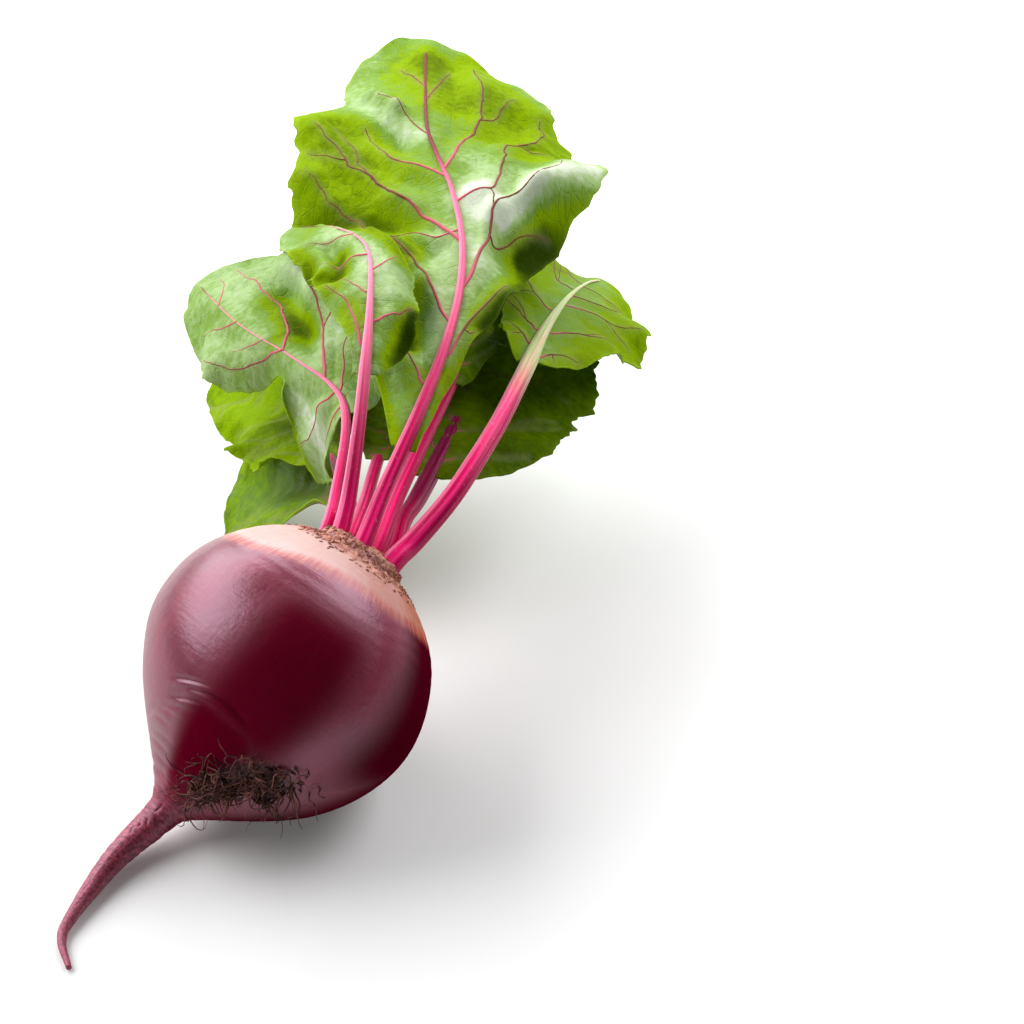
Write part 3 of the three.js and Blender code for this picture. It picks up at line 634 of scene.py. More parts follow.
def stalk_finish():
    # Here grown is the way round the stalk, and the mm along it.
    material, tree, place, grown, green, paled, aged, shaded, ridge = finish_of(
        "beetroot_stalk", "grown", "green", "paled", "aged", "shaded", "ridge"
    )
    stripes = speckled(grown, (2.6, 2.6, 0.025), 3, 0.6)
    threads = speckled(grown, (9, 9, 0.06), 2)
    speckle = speckled(place, 900, 2)
    magenta = blend(ease(stripes, 0.38, 0.6), (0.58, 0, 0.085), (0.84, 0.002, 0.16))
    # Painted light and shade: one side of it is painted pale as if lit, and the other a shaded crimson.
    side = times_plus(stripes, 0.8, add_node(tree, "ShaderNodeSeparateXYZ", {"Vector": grown}))
    magenta = blend(ease(side, 0, -0.5, 0, 0.75), magenta, (0.28, 0, 0.04))
    ridges_and_painted_highlight = times(ease(threads, 0.3, 0.6), ridge)
    ridges_and_painted_highlight = times_plus(ridges_and_painted_highlight, ease(side, 0.4, 1.2, 0.15, 0.5), ease(side, 0.5, 1.3, 0, 0.5))
    pale = blend(ridges_and_painted_highlight, magenta, (0.94, 0.3, 0.5))
    pale = blend(ease(speckle, 0.62, 0.8, 0, 0.2), pale, (0.95, 0.5, 0.58))
    pale = blend(paled, pale, (0.9, 0.44, 0.55))
    # Painted shade darkens the stalks inside the bunch.
    pale = blend(shaded, pale, (0.17, 0.004, 0.05))
    pale = blend(times(aged, 0.9), pale, (0.13, 0.02, 0.02))
    fresh = blend(ease(threads, 0.4, 0.66), (0.36, 0.5, 0.16), (0.6, 0.68, 0.36))
    fresh = blend(ease(stripes, 0.5, 0.62, 0, 0.6), fresh, (0.8, 0.26, 0.3))
    colour = blend(ease(times_plus(green, 1.5, stripes), 0.75, 1.6), pale, fresh)
    shine = ease(aged, 0, 0.8, 0.22, 0.06)
    return finished(material, coated(colour, 0.32, shine, (1, 0.5, 0.7), bumped(threads, 0.25, 0.0006)))


stalk_skin = stalk_finish()

# Between which shares a rib turns from magenta to brown, how far it fades to green or to a pale pink before
# that, and how much painted shade darkens a stalk that stands inside the bunch.
BROWNING = {"top_leaf": (0.56, 0.7), "front_leaf": (0.76, 0.9), "left_leaf": (0.8, 0.95)}
GREENING = {"right_leaf": 0.95, "back_leaf": 0.3}
PALING = {"top_leaf": 0.2, "front_leaf": 0.36, "left_leaf": 0.35}
SHADED = {"inner_leaf": 0.15, "back_leaf": 0.9, "young_leaf": 0.15}


def stalk_piece(leaf):
    end = leaf.blade_from + (1 - leaf.blade_from) * MIDRIB_ENDS
    share = np.linspace(0, 1, STALK_RINGS) ** 1.1 * (end - 0.004) + 0.002
    turn = np.linspace(0, 2 * np.pi, STALK_SIDES, endpoint=False)
    u, angle = np.meshgrid(share, turn, indexing="ij")
    place, _, up, right = leaf_frame(leaf, u)
    r = rib_radius(leaf, u)
    groove = np.maximum(0, np.sin(angle) * leaf.upper)
    reach = r * (1 - GROOVE_DEPTH * groove**3)
    below = np.maximum(0, -np.sin(angle) * leaf.upper)
    drift = 0.5 * np.sin(5 * u + leaf.phase)
    ribs = np.cos(RIBS * angle + leaf.phase + drift) * (0.35 + 0.65 * below)
    ribs = ribs + 0.4 * np.cos(5 * angle + 2 * leaf.phase - drift)
    ridge = np.clip(0.5 + 0.6 * ribs, 0, 1) ** 2
    reach = reach * (1 + RIB_RELIEF * ribs * np.clip(r / 1.5, 0, 1))
    rings = place - right * (reach * STALK_WIDE * np.cos(angle))[..., None]
    rings = rings + up * (reach * np.sin(angle))[..., None]
    # Where a leaf shows its upper side, the midrib thins out and sinks below the sheet.
    if leaf.upper > 0:
        sunk = RIB_SINKS * (1 - smooth(1.15, 1.7, r)) * smooth(0, 0.05, u - leaf.blade_from)
        rings = rings - up * sunk[..., None]
    rings[..., 2] = np.maximum(rings[..., 2], 0.1)
    grown = np.stack([np.cos(angle), np.sin(angle), u * leaf.curve.length], -1).reshape(-1, 3)
    green = GREENING.get(leaf.name, 0) * smooth(0.22, 0.62, u)
    paled = PALING.get(leaf.name, 0) * smooth(0.1, 0.5, u)
    aged = smooth(*BROWNING.get(leaf.name, (0.6, 0.8)), u)
    shaded = SHADED.get(leaf.name, 0) * smooth(0.05, 0.2, u)
    marks = {
        "grown": np.vstack([grown, grown[0], grown[-1]]),
        "green": np.append(green.ravel(), [0, green.max()]),
        "paled": np.append(paled.ravel(), [0, paled.max()]),
        "aged": np.append(aged.ravel(), [0, 1]),
        "shaded": np.append(shaded.ravel(), [0, shaded.max()]),
        "ridge": np.append(ridge.ravel(), [0, 0]),
    }
    piece = mesh_piece(leaf.name + "_rib", *tube(rings), stalk_skin, marks)
    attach(piece, "root")
    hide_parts(leaf.name + "_stalk")


for leaf in LEAVES:
    stalk_piece(leaf)

# ---- the blades
# A blade is one thin sheet, puckered between its veins, waved and scalloped at its margin. Its upper side
# is a deep green and its underside a pale one; light that comes through it turns yellow-green.
BLADE_FOOT, BLADE_FORM = 1.2, 0.62
BLADE_HALF = 0.24  # half of the sheet's thickness
RIB_GAP = 0.35  # between the midrib and the sheet
SMALL_BULGE = 0.5  # between the smaller veins
MAIN_VEIN = 0.38  # a vein is a main one if it starts thicker than this
VEIN_LIFT, VEIN_EXTRA = 0.12, 0.06


def of_half(leaf, side, *keys):
    """Values of the left half where side is below 0, and of the right half elsewhere."""
    left, right = leaf.halves
    return [np.where(side < 0, getattr(left, key), getattr(right, key)) for key in keys]


def blade_width(leaf, a, side):
    """A half blade's width at a share a of its length, on side -1 (left) or 1 (right)."""
    width, widest, fill = of_half(leaf, side, "width", "widest", "fill")
    form = np.sin(np.pi * np.clip(a, 0, 1) ** (math.log(0.5) / np.log(widest)))
    form = np.maximum(form, 0)
    for half, here in zip(leaf.halves, (side < 0, side > 0)):
        for middle, depth, before, after in half.notches:
            reach = np.where(a < middle, before, after)
            width = width * (1 - here * depth * np.exp(-(((a - middle) / reach) ** 2)))
    turn, phase = 2 * np.pi, leaf.phase
    scallops = 0.06 * np.sin(turn * (3 * a + 0.31 * side) + 2 * phase)
    scallops = scallops + 0.04 * np.sin(turn * (7 * a + 0.17 * side) + 5 * phase)
    scallops = scallops - 0.036 * np.abs(np.sin(turn * (5.5 * a + 0.7 * a * a + 0.4 * side) + 3 * phase))
    scallops = scallops - 0.032 * np.abs(np.sin(turn * (12.5 * a - 1.6 * a * a + 0.2 * side) + phase))
    scallops = scallops + 0.010 * np.sin(turn * (41 * a + 0.2 * side) + phase)
    tip = np.sqrt(np.clip((1 - a) / 0.02, 0, 1))
    return (BLADE_FOOT + width * form ** (fill + (BLADE_FORM - fill) * a) * (1 + scallops * form)) * tip


def blade_places(leaf, a, s):
    """The sheet before its veins pucker it: a runs along it, s from -1 to 1 across it."""
    side = np.where(s < 0, -1, 1)
    t = np.abs(s)
    u = leaf.blade_from + (1 - leaf.blade_from) * a
    place, along, up, right = leaf_frame(leaf, u)
    lean_foot, lean_tip, curl = of_half(leaf, side, "lean", "lean_tip", "curl")
    width = blade_width(leaf, a, side) * t
    out = np.where(a < MIDRIB_ENDS, rib_radius(leaf, u) * STALK_WIDE + RIB_GAP, 0) * smooth(0, 0.1, t)
    rise = 0
    steps = 10  # in which the curled width is added up
    for k in range(steps):
        x = (k + 0.5) / steps * t
        lean = np.radians(lean_foot + (lean_tip - lean_foot) * a + curl * x**1.5)
        out = out + np.cos(lean) * width / steps
        rise = rise + np.sin(lean) * width / steps
    wave = 2 * np.pi * (leaf.waves * a + 0.27 * side) + leaf.phase
    swell = leaf.ruffle * np.sin(np.pi * np.clip(a, 0, 1)) ** 0.5
    rise = rise + swell * t**1.8 * np.sin(wave)
    frill = 0.22 * swell * t**4 * np.sin(2.9 * wave + 1.7 * side)
    lobe = leaf.lobe * (1 - a) ** 3 * np.minimum(1, 10 * a)
    forth = (0.35 * swell * np.cos(wave) - lobe) * t * t
    place = place + along * forth[..., None] + right * (side * out)[..., None]
    return place + up * (rise + frill)[..., None]


# The veins of a blade: each one's radius where it starts and ends, and its way as hundredths along the blade
# and across it, left of the midrib below 0.
VEINS = {
    "top_leaf": [
        (0.62, 0.2, 56.5, 0, 62.5, 16, 72, 34, 77, 41, 83, 44, 88, 46),
        (0.32, 0.13, 72, 34, 74.6, 50, 78, 59, 80, 68),
        (0.5, 0.17, 48.5, 0, 50, 9, 50, 23, 54.6, 31, 63.3, 55, 70, 72, 76, 87),
        (0.26, 0.12, 64, 57, 63, 70, 64.5, 84),
        (0.8, 0.17, 29, 0, 34.2, 12, 38.8, 24, 42.1, 29, 45.8, 30, 48.3, 40, 50.8, 58, 55, 72),
        (0.32, 0.28, 45.8, 30, 48, 28, 50, 23),
        (0.4, 0.14, 41.8, 29, 40.4, 36, 42.1, 50, 44.6, 69, 45, 86),
        (0.55, 0.16, 15, 0, 22, 30, 29, 60, 33, 85),
        (0.3, 0.13, 22, 30, 21.5, 55, 22, 78),
        (0.3, 0.13, 75.4, 0, 82.5, 10, 88.7, 23),
        (0.3, 0.13, 80, 0, 85, -14, 90, -34),
        (0.34, 0.13, 65.5, 0, 73, -20, 79, -52),
        (0.8, 0.18, 39.5, 0, 45, -14, 52.1, -32, 58.8, -46, 63.7, -64, 67.1, -77, 69, -84),
        (0.32, 0.12, 63.2, -62, 64.2, -80, 65, -93),
        (0.3, 0.12, 58, -44.5, 63.7, -54, 66.5, -60, 70, -69),
        (0.55, 0.15, 54.5, 0, 57.5, -8, 59.6, -20, 62.9, -32, 66.2, -41, 70, -45),
        (0.42, 0.13, 42.5, 0, 41.2, -15, 42.9, -29, 42.5, -45, 44, -60),
        (0.6, 0.14, 22, 0, 31, -25, 41, -47, 49.6, -62, 55.8, -71, 59.2, -80, 62, -87),
        (0.5, 0.14, 10, 0, 16, -40, 22, -80),
    ],
    "front_leaf": [
        (0.45, 0.14, 46, 0, 46.7, -15, 46.7, -41, 50, -65, 55, -85),
        (0.4, 0.14, 37, 0, 40, 12, 43.3, 43, 45, 65),
        (0.5, 0.16, 15, 0, 17.1, 6, 20, 31, 21.7, 59, 25, 80),
        (0.5, 0.15, 7, 0, 17, -35, 27, -55, 36, -80),
        (0.34, 0.12, 62, 0, 69, -30, 73, -65),
        (0.26, 0.12, 74, 0, 81, 30, 84, 50),
        (0.32, 0.12, 27, 0, 33, -30, 37, -48),
    ],
    "left_leaf": [
        (0.5, 0.15, 36, 0, 39.5, 10, 43.8, 19, 54.6, 30, 69.2, 27, 82, 29, 90, 36),
        (0.45, 0.14, 36.5, 0, 39.2, -17, 43, -45, 50, -62, 57.9, -68, 66, -80),
        (0.28, 0.12, 45, 0, 48.7, -17, 55.4, -39),
        (0.6, 0.15, 16, 0, 26, 30, 40, 55, 56, 66, 68.8, 62, 78, 68),
        (0.4, 0.13, 33, 44, 36, 68, 42, 86),
        (0.42, 0.14, 8, 0, 17, 35, 25, 66, 32, 90),
        (0.45, 0.14, 4, 0, 4.5, -45, 6, -82),
        (0.45, 0.14, 10, 0, 15, -38, 23, -80),
        (0.34, 0.12, 60, 0, 70, -32, 77, -60),
        (0.3, 0.12, 74, 0, 83, 12, 92, 20),
    ],
}


def vein_paths(leaf):
    """Each vein of a blade: its a and s along it, its thickness there, and whether it is a main one."""
    named = VEINS.get(leaf.name)
    if named is None:  # a blade seen less: five veins each side, each with one fork
        named = []
        for side in (-1, 1):
            for k in range(5):
                start = 5 + 17 * k + 5 * math.sin(3 * leaf.phase + 2 * k + side)
                ahead = 13 + 2 * math.sin(5 * leaf.phase + 3 * k)
                thick = 0.55 - 0.07 * k
                fork, bent = (start + 0.5 * ahead, 42 * side), 0.5 * ahead * (1 if k % 2 else -0.25)
                way = (start, 0, start + 0.22 * ahead, 18 * side, *fork, start + 1.15 * ahead, 90 * side)
                branch = (*fork, fork[0] + bent, 62 * side, fork[0] + 1.6 * bent, 80 * side)
                named += [(thick, 0.13, *way), (0.5 * thick, 0.12, *branch)]
    paths = []
    for start, end, *way in named:
        curve = Grown([(a, 0.45 * s, 0) for a, s in zip(way[::2], way[1::2])])  # on a sheet of 100 by 90 mm
        x = np.linspace(0, 1, max(6, int(curve.length)))
        line = curve.place(x)
        wiggle = 0.14 * np.sin(0.55 * x * curve.length + 31 * start) * np.sin(np.pi * x)
        thick = 0.82 * (end + (start - end) * (1 - x) ** 1.1)
        a = np.clip((line[:, 0] + wiggle) / 100, 0.002, 0.985)
        s = np.clip((line[:, 1] + wiggle) / 45, -0.97, 0.97)
        paths.append((a, s, thick, start > MAIN_VEIN))
    return paths


def flat_places(leaf, a, s):
    """Places on the blade pressed flat, in mm: across it and along it."""
    span = (1 - leaf.blade_from) * leaf.curve.length
    side = np.where(s < 0, -1, 1)
    return np.stack([s * blade_width(leaf, a, side), a * span, 0 * a], -1)


# Folds of a blade, each a line: the hundredths along and across where it starts and where it ends, its
# height towards the side shown upwards, below 0 for a hollow, and its reach in mm.
FOLDS = {
    "top_leaf": [
        (65, -3, 73, -20, 2.2, 3), (73, -20, 79, -62, 3.6, 3.4), (66, -20, 71, -66, -2.6, 5),
        (36, 12, 50, 16, 3.2, 6), (46, 42, 50, 62, 3.4, 6), (50, 62, 54, 98, 5.5, 6.5),
        (40, 50, 45, 95, -5, 6.5), (50, -20, 62, -85, 1.8, 8), (47, -30, 53, -85, -3, 6),
        (28, -10, 36, -60, 3, 7), (64, 18, 74, 55, -1, 8), (56, 10, 62, 35, 1.4, 7),
        (13, 30, 28, 70, -3, 8), (20, -30, 26, -62, -3.5, 6), (86, -40, 94, 30, -2, 9),
        (12, -30, 16, -80, 2.6, 5),
    ],
    "front_leaf": [
        (42, -52, 66, -34, -3, 4), (30, -25, 62, -14, 1.6, 4), (66, -62, 46, -80, 2.4, 3.5),
        (62, -95, 40, -98, -2.2, 3.5), (30, 35, 60, 50, 2.5, 5), (10, 80, 30, 100, -2.2, 5),
        (72, -60, 80, 10, 2.2, 4),
    ],
    "left_leaf": [
        (42, 30, 60, 40, -2.8, 5.5), (30, 15, 44, 28, -1.6, 4.5), (45, 62, 74, 50, 3.2, 5),
        (60, 14, 80, 16, 2, 5), (25, 50, 40, 80, 3, 6), (15, 20, 22, 45, -2.6, 5),
        (28, -30, 40, -50, -3, 5), (12, -20, 18, -70, 2.4, 5), (65, 75, 80, 80, -3, 6),
        (50, -30, 70, -50, 2.2, 6), (60, -10, 80, -20, -1.6, 5),
    ],
}

# The tone of a blade, partly its own colour and partly painted light and shade: -1 is a painted pale sheen,
# 0 a grey-green, 1 a yellow-green, partly painted light shining through, and 2 a deep green of painted
# shade. First come its values at the midrib and at the margin, then strokes over them: the hundredths along
# and across where each starts and ends, how many mm it reaches, and the tone it brings.
TONES_WITH_PAINTED_LIGHT = {
    "top_leaf": [
        (0.35, 0.95), (92, 5, 82, 10, 9, 1.5), (80, 50, 76, 20, 7, 1.45), (93, -90, 78, -90, 10, -0.15),
        (98, -60, 98, 60, 5, 0), (90, 95, 80, 98, 4.5, 0), (72, 40, 66, 60, 7, 0.9),
        (66, -85, 60, -60, 11, 1.35), (60, -90, 52, -75, 9, 1.35), (66, -72, 62, -45, 4, 1.55),
        (56, -80, 48, -45, 5, 1.5), (60, 12, 53, 30, 6, -0.2), (77, -62, 66, -8, 3.5, -0.8),
        (53, 50, 54, 90, 6, -0.75), (44, 34, 49, 52, 5, -1.3), (50, 14, 45, 27, 6.5, -2),
        (42, 14, 34, 20, 6, -0.8), (38, 50, 22, 36, 8, -0.6), (42, -14, 30, -14, 5, -0.6),
        (46, 80, 48, 98, 4, 1.3), (41, 76, 43, 100, 4.5, 1.9), (42, 100, 24, 100, 6.5, 2.1),
        (43, -50, 38, -40, 4, 1.9), (31, -50, 31, -65, 4, -0.5), (30, -32, 27, -36, 3.5, 1.4),
        (12, -70, 5, -50, 6, -0.1), (0, -100, 14, -100, 2.5, 1.1), (16, -14, 24, -14, 4, -0.9),
        (18, -46, 24, -58, 4, 2),
    ],
    "front_leaf": [
        (-0.6, -0.35), (74, -85, 62, -95, 4.5, 1.4), (56, -45, 40, -50, 4, 1.5), (44, -85, 34, -70, 4, 1.2),
        (62, 95, 46, 75, 4, 1.6), (24, -50, 16, -45, 4, 1), (22, 95, 6, 105, 4.5, 2.1),
        (84, 60, 96, 30, 5, 0.3), (78, -40, 88, -10, 4, 0.3),
    ],
    "left_leaf": [
        (-0.45, -0.35), (60, 28, 38, 28, 5.5, 1.3), (58, 92, 44, 90, 5, 1.5), (42, 10, 42, 25, 3, 1.3),
        (24, -30, 22, -40, 4, 0.9), (30, -95, 22, -100, 3, 1), (74, -20, 90, -20, 6, -0.1),
        (70, 60, 66, 80, 5, 0.3), (27, -40, 12, -65, 6, -1.1),
    ],
    "bright_leaf": [(0.95, 1.1), (50, -10, 40, 0, 8, 1.8)],
    "low_leaf": [(0.2, 0.5)],
    "right_leaf": [(0.2, 0.9)],
    "inner_leaf": [(1.7, 2.0)],
    "back_leaf": [(1.7, 1.9)],
    "young_leaf": [(1.5, 1.8)],
}


def near_line(leaf, flat, reach, *ends):
    """How near places on the flattened blade are to the line between two of its places: 1 on it."""
    ends = np.array(ends) / 100
    p, q = flat_places(leaf, ends[::2], ends[1::2])
    share = np.clip(np.sum((flat - p) * (q - p), -1) / np.sum((q - p) ** 2), 0, 1)
    off = np.linalg.norm(flat - p - (q - p) * share[..., None], axis=-1)
    return np.exp(-((off / reach) ** 2))


def blade_tone_with_painted_light(leaf, flat, s):
    (inner, outer), *strokes = TONES_WITH_PAINTED_LIGHT[leaf.name]
    tone_with_painted_light = inner + (outer - inner) * smooth(0, 0.75, np.abs(s))
    for *ends, reach, value in strokes:
        tone_with_painted_light = tone_with_painted_light + (value - tone_with_painted_light) * near_line(leaf, flat, reach, *ends)
    return tone_with_painted_light


def fold_heights(leaf, flat):
    """How far the folds lift each place of a blade, without the ripples and with them."""
    rise = np.zeros(flat.shape[:-1])
    for *ends, height, reach in FOLDS.get(leaf.name, []):
        rise = rise + height * near_line(leaf, flat, reach, *ends)
    ripples = 1.9 * grain(flat / 19, leaf.phase + 2) + 0.75 * grain(flat / 8, leaf.phase + 4)
    ripples = ripples + 0.28 * grain(flat / 3.6, leaf.phase + 5)
    beside = np.abs(flat[..., 0])
    return rise, rise * smooth(0.5, 9, beside) + ripples * smooth(1, 12, beside)


def blade_finish():
    # Here flat is mm on the blade pressed flat, and near is 1 on a vein and 0 well away from any.
    material, tree, _, flat, under, near, painted_backlit_edge, tone_with_painted_light = finish_of(
        "beetroot_blade", "flat", "under", "near", "painted_backlit_edge", "tone_with_painted_light"
    )

    def net(scale, thread):
        inputs = {"Vector": flat, "Scale": scale}
        cells = add_node(tree, "ShaderNodeTexVoronoi", inputs, feature="DISTANCE_TO_EDGE")
        return ease(cells, 0, thread, 1, 0)

    threads, fine_threads = net(0.26, 0.06), net(0.8, 0.1)
    patches = speckled(flat, 0.055, 3)
    mottle = speckled(flat, 0.45, 4, 0.6)

    # The tone varies at random, least where the blade is painted a deep green in shade.
    uneven = plus(ease(patches, 0.3, 0.7, -0.22, 0.22), ease(mottle, 0.3, 0.7, -0.26, 0.26))
    tone_with_painted_light = plus(times(uneven, ease(tone_with_painted_light, 1, 1.7, 1, 0.35)), tone_with_painted_light)
    # Painted light and shade: the lowest tones are a painted pale sheen, and the highest a deep green
    # painted for shade.
    fresh, pale = ease(tone_with_painted_light, 0, 0.85), ease(tone_with_painted_light, 0.1, -0.7)
    painted_sheen, deep = ease(tone_with_painted_light, -0.6, -1.6), ease(tone_with_painted_light, 0.9, 2.4)
    lower = blend(fresh, (0.23, 0.41, 0.06), (0.24, 0.37, 0))
    lower = blend(pale, lower, (0.43, 0.62, 0.26))
    lower = blend(painted_sheen, lower, (0.8, 0.87, 0.72))
    lower = blend(deep, lower, (0.03, 0.065, 0))
    upper = blend(fresh, (0.13, 0.26, 0.014), (0.26, 0.42, 0))
    upper = blend(deep, upper, (0.03, 0.075, 0))
    colour = blend(under, upper, lower)
    netted = times(times_plus(fine_threads, 0.5, threads), ease(tone_with_painted_light, 0.9, 1.6, 0.12, 0.015))
    colour = blend(netted, colour, (0.45, 0.6, 0.05))
    colour = blend(times(near, 0.2), colour, (0.5, 0.5, 0.25))
    # Painted light: the margin is painted yellow-green, as where light shines through it, least in the
    # painted deep shade.
    colour = blend(times(painted_backlit_edge, ease(tone_with_painted_light, 1.2, 1.9, 0.4, 0.1)), colour, (0.42, 0.6, 0.04))

    threads = times(threads, ease(tone_with_painted_light, -1, -0.2, 0.1, 1))
    relief = bumped(times_plus(fine_threads, 0.2, times_plus(threads, 0.7, mottle)), 0.4, 0.0005)
    shine = ease(tone_with_painted_light, -0.6, 0.9, 0.3, 0.02)
    shell = coated(colour, ease(under, 0, 1, 0.38, 0.5), shine, (0.85, 1, 0.4), relief)
    glow = blend(fresh, (0.22, 0.38, 0.01), (0.48, 0.66, 0))
    glow = blend(deep, glow, (0.03, 0.06, 0))
    glow = blend(times(threads, 0.3), glow, (0.15, 0.28, 0))
    glow = blend(times(near, 0.5), glow, (0.18, 0.18, 0.02))
    through = add_node(tree, "ShaderNodeBsdfTranslucent", {"Color": glow, "Normal": relief})
    return finished(material, add_node(tree, "ShaderNodeMixShader", {0: 0.4, 1: shell, 2: through}))


def vein_finish():
    material, _, place, out = finish_of("beetroot_vein", "out")
    mottle = speckled(place, 160, 3)
    near = blend(mottle, (0.56, 0.06, 0.13), (0.54, 0.14, 0.17))
    far = blend(mottle, (0.09, 0.012, 0.01), (0.2, 0.07, 0.02))
    return finished(material, coated(blend(ease(out, 0, 0.36), near, far), 0.5, 0.12))


blade_skin = blade_finish()
vein_skin = vein_finish()

# The veins: round threads that stand out under the blade, pink near the midrib and brown further out. Each
# runs along one path, as thick as the path says, and is grown into the sheet.
given, node, draw_veins = geometry_tree("vein_threads", vein_skin, {"Facets": 6, "Width": 1.0})
thick = node("GeometryNodeInputNamedAttribute", {"Name": "thick"}, data_type="FLOAT")
line = node("GeometryNodeMeshToCurve", {"Mesh": given["Geometry"]})
end_in_tubes(line, given, given["Facets"], 0.001, times(thick, given["Width"]))


def far_off(places, spots):
    """How far each of the places is from the nearest of the spots."""
    nearby = kdtree.KDTree(len(spots))
    for spot in spots:
        nearby.insert(spot, 0)
    nearby.balance()
    return np.array([nearby.find(place)[2] for place in places.reshape(-1, 3)]).reshape(places.shape[:-1])


def blade_piece(leaf):
    rows, half = leaf.mesh
    x = np.linspace(0, 1, rows)
    along = 0.985 * (x - 0.08 * np.sin(2 * np.pi * x))
    out = 1 - (1 - np.linspace(0, 1, half + 1)) ** 1.15
    across = np.concatenate([-out[:0:-1], out])
    a, s = np.meshgrid(along, across, indexing="ij")
    middle = blade_places(leaf, a, s)

    # Between the veins the sheet bulges towards its upper side.
    paths = vein_paths(leaf)
    flat = flat_places(leaf, a, s)
    beside = far_off(flat, np.vstack([flat_places(leaf, *path[:2]) for path in paths]))
    off = far_off(flat, np.vstack([flat_places(leaf, *path[:2]) for path in paths if path[3]]))
    off = np.minimum(off, np.abs(flat[..., 0]))
    rounds = leaf.bulge * (1 - np.exp(-((off / 6) ** 2)))
    rounds = rounds + SMALL_BULGE * (1 - np.exp(-((beside / 2.2) ** 2)))
    rounds = rounds * (1 - 0.4 * np.abs(s) ** 3) * smooth(0, 0.1, a) * smooth(1, 0.93, a)
    share = leaf.blade_from + (1 - leaf.blade_from) * a
    over_rib = 0.35 * rib_radius(leaf, share) * np.exp(-((flat[..., 0] / 6) ** 2))
    rounds = rounds + over_rib * smooth(MIDRIB_ENDS, 0.8, a)
    up = leaf_frame(leaf, share)[2]
    crests, folds = fold_heights(leaf, flat)
    middle = middle + up * (leaf.upper * rounds + folds)[..., None]

    normal = unit(np.cross(np.gradient(middle, axis=1), np.gradient(middle, axis=0)) * -1)
    normal = normal * np.sign(np.sum(normal * up, -1).mean())
    above, below = middle + normal * BLADE_HALF, middle - normal * BLADE_HALF
    above[..., 2] = np.maximum(above[..., 2], 2 * BLADE_HALF)
    below[..., 2] = np.maximum(below[..., 2], 0)
    columns = len(across)
    count = rows * columns
    faces = grid_faces(rows, columns, closed=False, flip=True)
    faces += grid_faces(rows, columns, first=count, closed=False)
    loop = list(range(columns)) + [i * columns + columns - 1 for i in range(1, rows)]
    loop += [(rows - 1) * columns + j for j in range(columns - 2, -1, -1)]
    loop += [i * columns for i in range(rows - 2, 0, -1)]
    faces += [(p, q, q + count, p + count) for p, q in zip(loop, loop[1:] + loop[:1])]
    under = 1.0 if leaf.upper < 0 else 0.0
    # Painted light and shade: the tone is paler on the crests of the folds and darker in their hollows.
    tone_with_painted_light = blade_tone_with_painted_light(leaf, flat, s) - (0.09 * crests + 0.05 * folds) * (1 if leaf.upper < 0 else 0.5)
    marks = {
        "flat": np.vstack([flat.reshape(-1, 3) + [0, 0, 40 * leaf.phase]] * 2),
        "under": np.repeat([under, 1 - under], count),
        "near": np.tile(np.exp(-((beside / 1.1) ** 2)).ravel(), 2),
        "painted_backlit_edge": np.tile(smooth(0.93, 1.0, np.abs(s)).ravel(), 2),
        "tone_with_painted_light": np.tile(tone_with_painted_light.ravel(), 2),
    }
    points = np.vstack([above.reshape(-1, 3), below.reshape(-1, 3)])
    piece = mesh_piece(leaf.name + "_sheet", points, faces, blade_skin, marks)
    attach(piece, "root")
    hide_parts(leaf.name + "_blade")

    # The veins stand out on the underside.
    under_way = normal * -leaf.upper
    pinker = 0.4 if leaf.name in ("front_leaf", "left_leaf") else 1
    lines, joins, thickness, outs = [], [], [], []
    for path_a, path_s, thick, main in paths:
        row = np.interp(path_a, along, np.arange(rows))
        column = np.interp(path_s, across, np.arange(columns))
        i, j = np.minimum(row.astype(int), rows - 2), np.minimum(column.astype(int), columns - 2)
        p, q = (row - i)[:, None], (column - j)[:, None]

        def between(values):
            near_row = values[i, j] * (1 - q) + values[i, j + 1] * q
            far_row = values[i + 1, j] * (1 - q) + values[i + 1, j + 1] * q
            return near_row * (1 - p) + far_row * p

        place = between(middle) + unit(between(under_way)) * VEIN_LIFT
        place[:, 2] = np.maximum(place[:, 2], 0.5)
        first = sum(len(line) for line in lines)
        joins += [(first + k, first + k + 1) for k in range(len(place) - 1)]
        lines.append(place)
        thickness.append(thick + VEIN_EXTRA)
        outs.append(pinker * (np.abs(path_s) + (0 if main else 0.2)))
    marks = {"thick": np.concatenate(thickness), "out": np.concatenate(outs)}
    veins = mesh_piece(leaf.name + "_veins", np.vstack(lines), [], vein_skin, marks, joins)
    draw_veins(veins)
    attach(veins, "root")


for leaf in LEAVES:
    blade_piece(leaf)

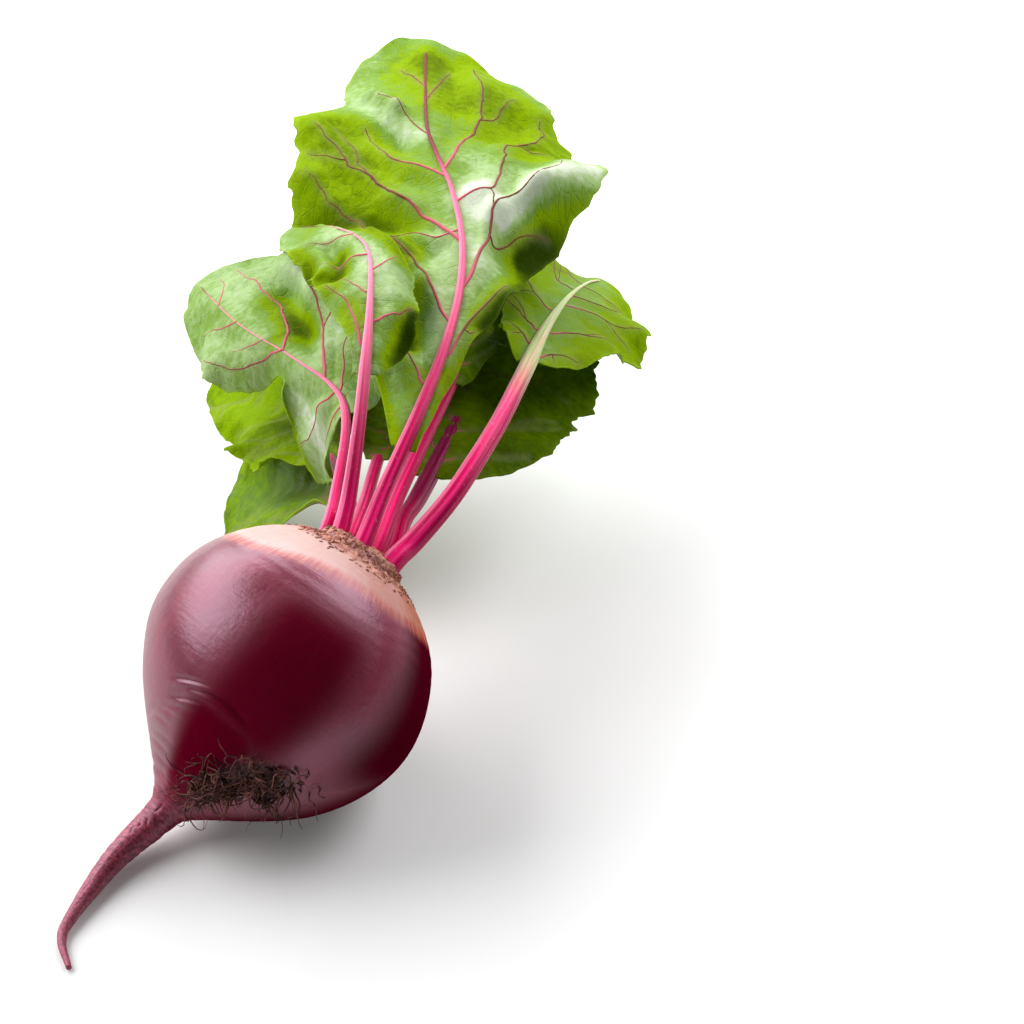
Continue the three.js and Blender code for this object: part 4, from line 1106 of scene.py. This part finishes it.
# ---- floor, light and camera
# The beetroot lies on a pale floor between two soft lights, with a third behind that shines through it.
floor = mesh_piece(
    "floor",
    np.array([(-4000, -4000, 0), (4000, -4000, 0), (4000, 4000, 0), (-4000, 4000, 0)], float),
    [(0, 1, 2, 3)],
    bpy.data.materials.new("pale_floor"),
    {},
)
floor.data.materials[0].use_nodes = True
pale = floor.data.materials[0].node_tree.nodes["Principled BSDF"]
pale.inputs["Base Color"].default_value = (0.75, 0.75, 0.75, 1)
pale.inputs["Roughness"].default_value = 0.9
pale.inputs["Emission Color"].default_value = (1, 1, 1, 1)
pale.inputs["Emission Strength"].default_value = 0.1
floor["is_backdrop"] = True

scene = bpy.context.scene
scene.view_settings.view_transform = "Standard"
world = bpy.data.worlds.new("studio")
world.use_nodes = True
world.node_tree.nodes["Background"].inputs["Color"].default_value = (1, 1, 1, 1)
world.node_tree.nodes["Background"].inputs["Strength"].default_value = 0.06
scene.world = world

TARGET = Vector((0.0, 0.03, 0.04))


def soft_light(name, place, facing, size, strength):
    """A panel of light, placed from the target, as wide and high as its size says."""
    light = bpy.data.lights.new(name, "AREA")
    light.shape = "RECTANGLE"
    light.size, light.size_y = size
    light.energy = strength * math.pi * size[0] * size[1]
    lamp = bpy.data.objects.new(name, light)
    lamp.location = TARGET + Vector(place)
    lamp.rotation_mode = "QUATERNION"
    lamp.rotation_quaternion = (-Vector(facing)).to_track_quat("Z", "Y")
    scene.collection.objects.link(lamp)


soft_light("left_light", (-0.75, 0.82, 0.88), (1, 0, 0), (2.15, 1.25), 6.0)
soft_light("right_light", (0.60, 0.50, 0.76), (-1, 0, 0), (1.0, 0.9), 5.5)
soft_light("back_light", (0.05, 0.85, 0.55), (-0.05, -0.85, -0.55), (0.8, 0.5), 6.2)

camera_data = bpy.data.cameras.new("camera")
camera_data.lens = 100
camera_data.sensor_width = 36
camera = bpy.data.objects.new("camera", camera_data)
camera.location = (0.0560, -0.5756, 0.5393)
camera.rotation_euler = (math.radians(52), 0, 0)
scene.collection.objects.link(camera)
scene.camera = camera

shown_low, shown_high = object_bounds()
sizes = {"cad": [list(cad_low), list(cad_high)], "shown": [list(shown_low), list(shown_high)]}
